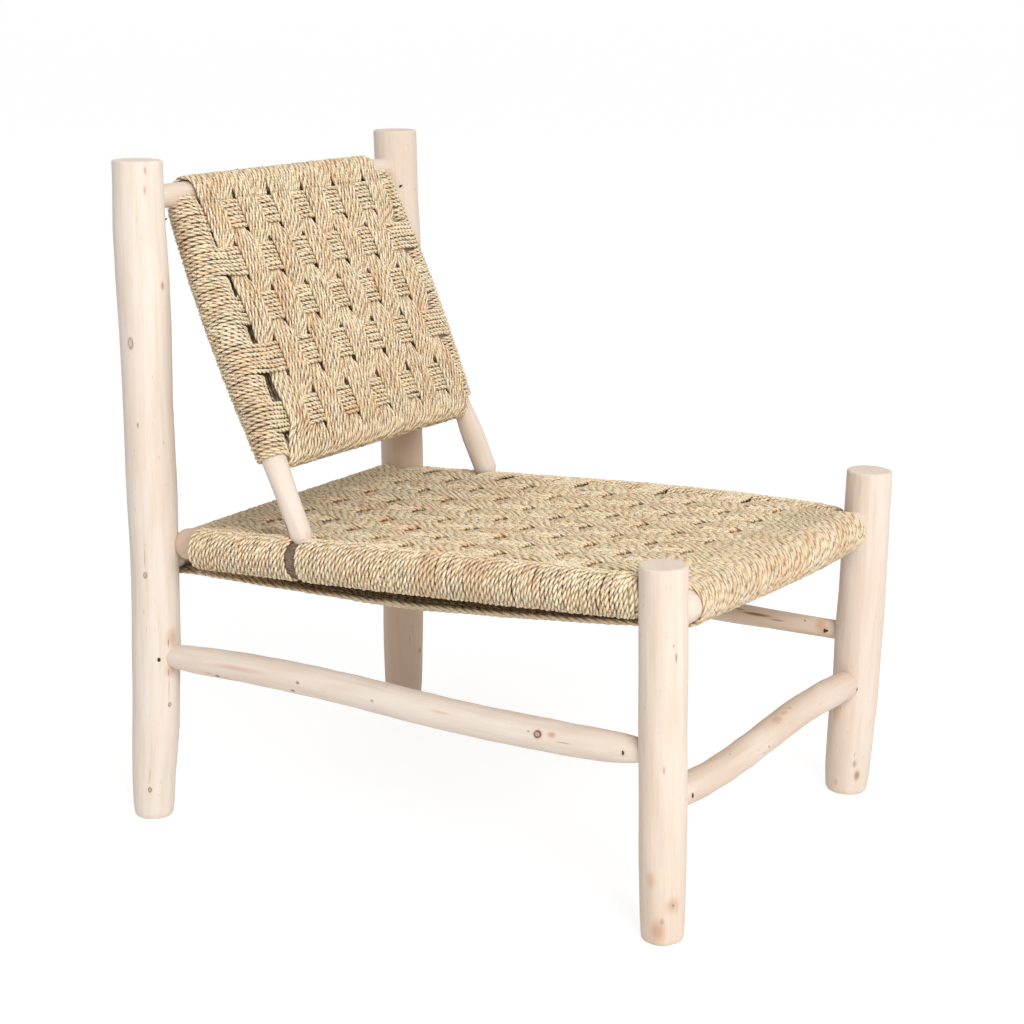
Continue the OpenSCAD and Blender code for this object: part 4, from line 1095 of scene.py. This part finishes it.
def pole_rings(radius, length, rounding, places):
    """Rings from one flat end to the other: place, radius and how much of the ripple each has"""
    ends = []
    for at, sign in ((0, 1), (length, -1)):
        r = float(radius(at))
        ends.append([(at, (r - rounding) * f, f) for f in (0.08, 0.3, 0.6, 0.85, 0.97)])
        for t in np.linspace(0, math.pi / 2, 5):
            ends[-1].append((at + sign * rounding * (1 - math.cos(t)), r - rounding * (1 - math.sin(t)), 1.0))
    body = [(x, float(radius(x)), 1.0) for x in places if rounding * 1.05 < x < length - rounding * 1.05]
    return np.array(ends[0] + body + ends[1][::-1]).T


def branch_marks(marks, th, s, r):
    """How dark and how stained a pole is at its branch marks, and how far they stand out"""
    dark, stain, out = np.zeros((3, len(s), len(th)))
    for at, angle, wide, long, depth, halo in marks:
        aside = ((th[None] - math.radians(angle) + np.pi) % (2 * np.pi) - np.pi) * r[:, None] / wide
        dist = np.hypot((s[:, None] - at) / long, aside)
        spot = depth * np.clip(1.5 - 1.5 * dist, 0, 1)
        if depth < 0:
            # A dark ring round a paler eye
            spot = -depth * np.maximum(np.exp(-((dist - 0.65) / 0.22) ** 2), 0.5 * np.exp(-(dist / 0.2) ** 2))
        dark = np.maximum(dark, spot)
        stain = np.maximum(stain, halo * np.clip(1.4 - dist, 0, 1))
        out = out + min(wide, long) * 0.08 * np.exp(-(dist / 1.2) ** 2)
    return dark, stain, out


def pole(name, node, centre, radius, length, rounding, seed, amount=0.5, sides=72, step=4.0, bark=None,
         covered=None):
    """A round pole with flat ends, the marks of its branches, the swells that a peeled pole has and painted
    shade where rope covers it
    """
    marks = MARKS.get(node, ())
    places = np.linspace(0, length, max(8, int(length / step)))[1:-1]
    places = finer(places, [m[0] + k * m[3] for m in marks for k in NEAR], 0.25)
    s, r, full = pole_rings(radius, length, rounding, places)
    turn = [math.radians(m[1]) + k * m[2] / float(radius(m[0])) for m in marks for k in NEAR]
    th = finer(np.arange(sides) / sides * 2 * np.pi, np.mod(turn, 2 * np.pi), math.radians(0.6))
    th = np.array(th[:len(th) // 2 * 2])
    d = unit(centre(np.array([length]))[0] - centre(np.array([0.0]))[0])
    ref = UP if abs(d[2]) < 0.8 else AHEAD
    e1 = unit(ref - d * (d @ ref))
    e2 = np.cross(d, e1)
    dark, stain, out = branch_marks(marks, th, s, r)
    rr = r[:, None] + ripple(th[None], s[:, None], seed, amount) * full[:, None] + out
    if covered:
        # Painted shade on the wood under the rope
        under = smooth((s - covered[0]) / 8) * smooth((covered[1] - s) / 8)
        dark = np.maximum(dark, COVERED_SHADE * under[:, None])
    v = centre(s)[:, None] + rr[..., None] * (np.cos(th)[None, :, None] * e1 + np.sin(th)[None, :, None] * e2)
    n, k = rr.shape
    faces = np.vstack([tube(n, k), flat_end(k)[:, ::-1], (n - 1) * k + flat_end(k)])
    ob = mesh_piece(name, v.reshape(-1, 3), faces, BARK_MAT if bark else WOOD_MAT)
    grain = np.stack([rr * np.cos(th), rr * np.sin(th), s[:, None] + 0 * rr], -1)
    attribute(ob, "grain", grain.reshape(-1, 3) + seed * 137.0)
    attribute(ob, "marks_and_shade", dark.ravel())
    attribute(ob, "stain", stain.ravel())
    for key, share in (("tan", TAN_AND_SHADE.get(node)), ("bark", bark)):
        if share:
            attribute(ob, key, (share(s[:, None]) + 0 * rr).ravel())
    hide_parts(node)
    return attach(ob, "root")


def swell(name, z, column):
    knots = np.array(SWELLS[name])
    return np.interp(z, knots[:, 0], knots[:, column])


def post_pole(name, seed):
    pole(name.replace("_post", "_pole"), name, lambda z: post_at(name, z) + col3(swell(name, z, 1)) * ACROSS,
         lambda z: post_r(name, z) + swell(name, z, 2), POSTS[name][2], 2.6, seed, 0.4)


def limb_pole(name, seed):
    m = LIMB[name]
    top = np.cross(m.dir, unit(np.cross(UP, m.dir)))
    has_bark = name == "right_seat_rail"
    bare = BARE.get(name)

    def centre(s):
        t = np.clip((s - IN_POST) / m.length, 0, 1)
        wave = m.wave * np.sin(2 * np.pi * t)
        aside = has_bark * (1 - smooth((s - 15) / 60))
        return m.start + (s - IN_POST)[:, None] * m.dir + wave[:, None] * top + aside[:, None] * REAR_END

    def bark(s):
        return smooth((s - IN_POST - NO_BARK) / 14) * smooth((m.length - s) / 14)

    pole(name + "_pole", name, centre, lambda s: m.r(np.clip(s - IN_POST, 0, m.length)),
         m.length + 2 * IN_POST, 0.5, seed, 0.25 if bare or has_bark else 0.55, 56,
         bark=bark if has_bark else None, covered=bare and (IN_POST + bare[0], IN_POST + m.length - bare[1]))


def full_stile(side, s):
    """The stiles keep their thickness nearly down to the turns that they stand on"""
    a, b = STILE_FROM[side], STILE_TO[side]
    s = np.clip(s, a, b)
    foot = (0.93, 1.28)[side] * through(STILE_D[side], (s - a) / (b - a))
    foot = lerp(NECK, foot, np.clip((s - a - 6) / 9, 0, 1) ** 0.6) / 2
    return lerp(foot, stile_r(side, s), smooth((s - a - FOOT_RUN) / 60))


def stile_pole(side, name, seed):
    # Both ends reach a little into the rails
    a, b = STILE_FROM[side] - 5, STILE_TO[side] + 5
    pole(name + "_pole", name, lambda s: FOOT[side] + (a + s)[:, None] * STILE_DIR[side],
         lambda s: full_stile(side, a + s), b - a, 0.5, seed, 0.25, 56,
         covered=((1 - CROSS_AT) * SPAN[side] + 6 - a, SPAN[side] - 14 - a))


def crossbar_pole():
    way, length = unit(BAR[1] - BAR[0]), np.linalg.norm(BAR[1] - BAR[0])
    inset = [float(stile_r(s, (1 - CROSS_AT) * SPAN[s])) for s in (0, 1)]

    def radius(s):
        s = np.asarray(s, float)
        return lerp(15.2, CROSS_D, nose(np.minimum(s - inset[0], length - inset[1] - s) / 12)) / 2

    pole("back_crossbar_pole", "back_crossbar", lambda s: BAR[0] + s[:, None] * way, radius, length, 0.5, 61,
         0.2, 40, 5.0, covered=(12, length - 12))


for i, name in enumerate(POSTS):
    post_pole(name, 11 + i)
for i, name in enumerate(LIMBS):
    limb_pole(name, 31 + i)
for side, name in enumerate(("right_stile", "left_stile")):
    stile_pole(side, name, 51 + side)
crossbar_pole()

# Nails

NAIL_L, NAIL_D, HEAD_D, NAIL_SIDES = 34.0, 2.6, 5.6, 20
# Half profile of a nail: height over the wood, radius
NAIL_PROFILE = [(0.9, 0.01), (0.9, HEAD_D * 0.28), (0.7, HEAD_D * 0.42), (0.2, HEAD_D / 2),
                (-0.3, HEAD_D / 2), (-0.4, NAIL_D / 2), (-NAIL_L + 3, NAIL_D / 2), (-NAIL_L, 0.05)]
# Limb, its end, how far along it the nail is driven in (0: through the post) and how far above its axis
NAILS = [("right_stretcher", 0, 0, 0), ("right_stretcher", 1, 14, 0), ("left_stretcher", 0, 12, 0),
         ("left_stretcher", 1, 12, 0), ("front_stretcher", 0, 12, 0), ("front_stretcher", 1, 12, 0),
         ("back_top_rail", 0, 0, -24), ("back_top_rail", 1, 0, -24)]


def nail_line(name, end, along, above):
    """The nail head's place on the wood, and the way that the nail goes in"""
    m, post = LIMB[name], LIMBS[name][2 * end]
    joint, way = (m.end, -m.dir) if end else (m.start, m.dir)
    side = -unit(np.cross(UP, m.dir))
    if along == 0:
        z = joint[2] + above
        out = (way + side) / math.sqrt(2)
        middle = post_at(post, z) + float(swell(post, z, 1)) * ACROSS
        head = middle + (float(post_r(post, z)) + float(swell(post, z, 2))) * out
        return head, unit(joint - way * m.tenon / 2 - head)
    head = joint + way * along + side * float(m.r(along))
    return head, unit(joint - way * m.tenon / 2 - side * m.d[0] / 4 - head)


def nails():
    th = np.arange(NAIL_SIDES) / NAIL_SIDES * 2 * np.pi
    n = len(NAIL_PROFILE)
    end = flat_end(NAIL_SIDES)
    verts, faces = [], []
    for i, line in enumerate(NAILS):
        head, way = nail_line(*line)
        e1 = unit(np.cross(way, UP + 0.01))
        ring = np.cos(th)[:, None] * e1 + np.sin(th)[:, None] * np.cross(way, e1)
        verts.append(np.vstack([head - h * way + r * ring for h, r in NAIL_PROFILE]))
        quads = [tube(n, NAIL_SIDES)[:, ::-1], end, (n - 1) * NAIL_SIDES + end[:, ::-1]]
        faces.append(i * n * NAIL_SIDES + np.vstack(quads))
    ob = mesh_piece("nails", np.vstack(verts), np.vstack(faces), iron_material())
    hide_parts("joint_nails")
    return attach(ob, "root")


nails()

# Floor, light and camera

# The floor's half size in metres, and its paper: how bright it glows, and how much of it glows
FLOOR, GLOW, GLOWING = 60.0, 1.23, 0.66
# The world's strength for the light on the chair; the camera sees it at 1
WORLD_LIGHT = 0.53
# The camera's bearing and fall in radians, its focal length in pixels, its place in the source's own
# millimetres and the width of its film
YAW, FALL, FOCAL = -1.01967, 0.24305, 2106.0
EYE = (np.array([-2119.13, -1304.54, 989.21]) - CENTRE) * 0.001
PICTURE, FILM = 1024, 36.0


def paper_material():
    m = new_material("paper")
    glow = m.node("Emission", {"Strength": GLOW}).outputs[0]
    share = m.math("MULTIPLY", m.backdrop_rays(), GLOWING)
    both = m.node("MixShader", {0: share, 1: m.bsdf.outputs[0], 2: glow})
    m.put(both.outputs[0], m.tree.nodes["Material Output"].inputs["Surface"])
    return m.finish((0.93, 0.93, 0.93, 1), 0.9)


def set_world():
    w = Nodes(bpy.data.worlds.new("studio"))
    back = w.tree.nodes["Background"]
    back.inputs["Color"].default_value = (1, 1, 1, 1)
    w.put(w.range(w.backdrop_rays(), 0, 1, WORLD_LIGHT, 1.0), back.inputs["Strength"])
    bpy.context.scene.world = w.owner


def placed(name, data, at, x, y, z):
    """An object at a place, with its own axes along x, y and z"""
    ob = bpy.data.objects.new(name, data)
    ob.matrix_world = Matrix([[x[i], y[i], z[i], at[i]] for i in range(3)] + [[0, 0, 0, 1]])
    bpy.context.collection.objects.link(ob)
    return ob


def lamp(name, at, size, power):
    """A round lamp that faces the middle of the chair"""
    data = bpy.data.lights.new(name, "AREA")
    data.shape = "DISK"
    data.size = size
    data.energy = power
    z = -unit(np.array([0, 0, 0.4]) - np.array(at, float))
    x = unit(np.cross(UP, z))
    placed(name, data, at, x, np.cross(z, x), z)


def camera():
    data = bpy.data.cameras.new("camera")
    data.sensor_width = FILM
    data.sensor_fit = "HORIZONTAL"
    data.lens = FOCAL * FILM / PICTURE
    data.clip_end = 200
    z = np.array([math.sin(YAW) * math.cos(FALL), -math.cos(YAW) * math.cos(FALL), math.sin(FALL)])
    x = np.array([math.cos(YAW), math.sin(YAW), 0.0])
    return placed("camera", data, EYE, x, np.cross(z, x), z)


floor = bpy.data.objects.new("floor", bpy.data.meshes.new("floor"))
corners = [(-FLOOR, -FLOOR, 0), (FLOOR, -FLOOR, 0), (FLOOR, FLOOR, 0), (-FLOOR, FLOOR, 0)]
floor.data.from_pydata(corners, [], [(0, 1, 2, 3)])
floor.data.materials.append(paper_material())
bpy.context.collection.objects.link(floor)
set_world()
lamp("key", (-2.9, -3.8, 3.5), 2.9, 232)
lamp("fill", (1.8, -4.4, 2.2), 3.2, 13)
lamp("top", (0.4, 0.6, 3.6), 2.0, 6)
bpy.context.scene.camera = camera()
bpy.context.scene.view_settings.view_transform = "Standard"
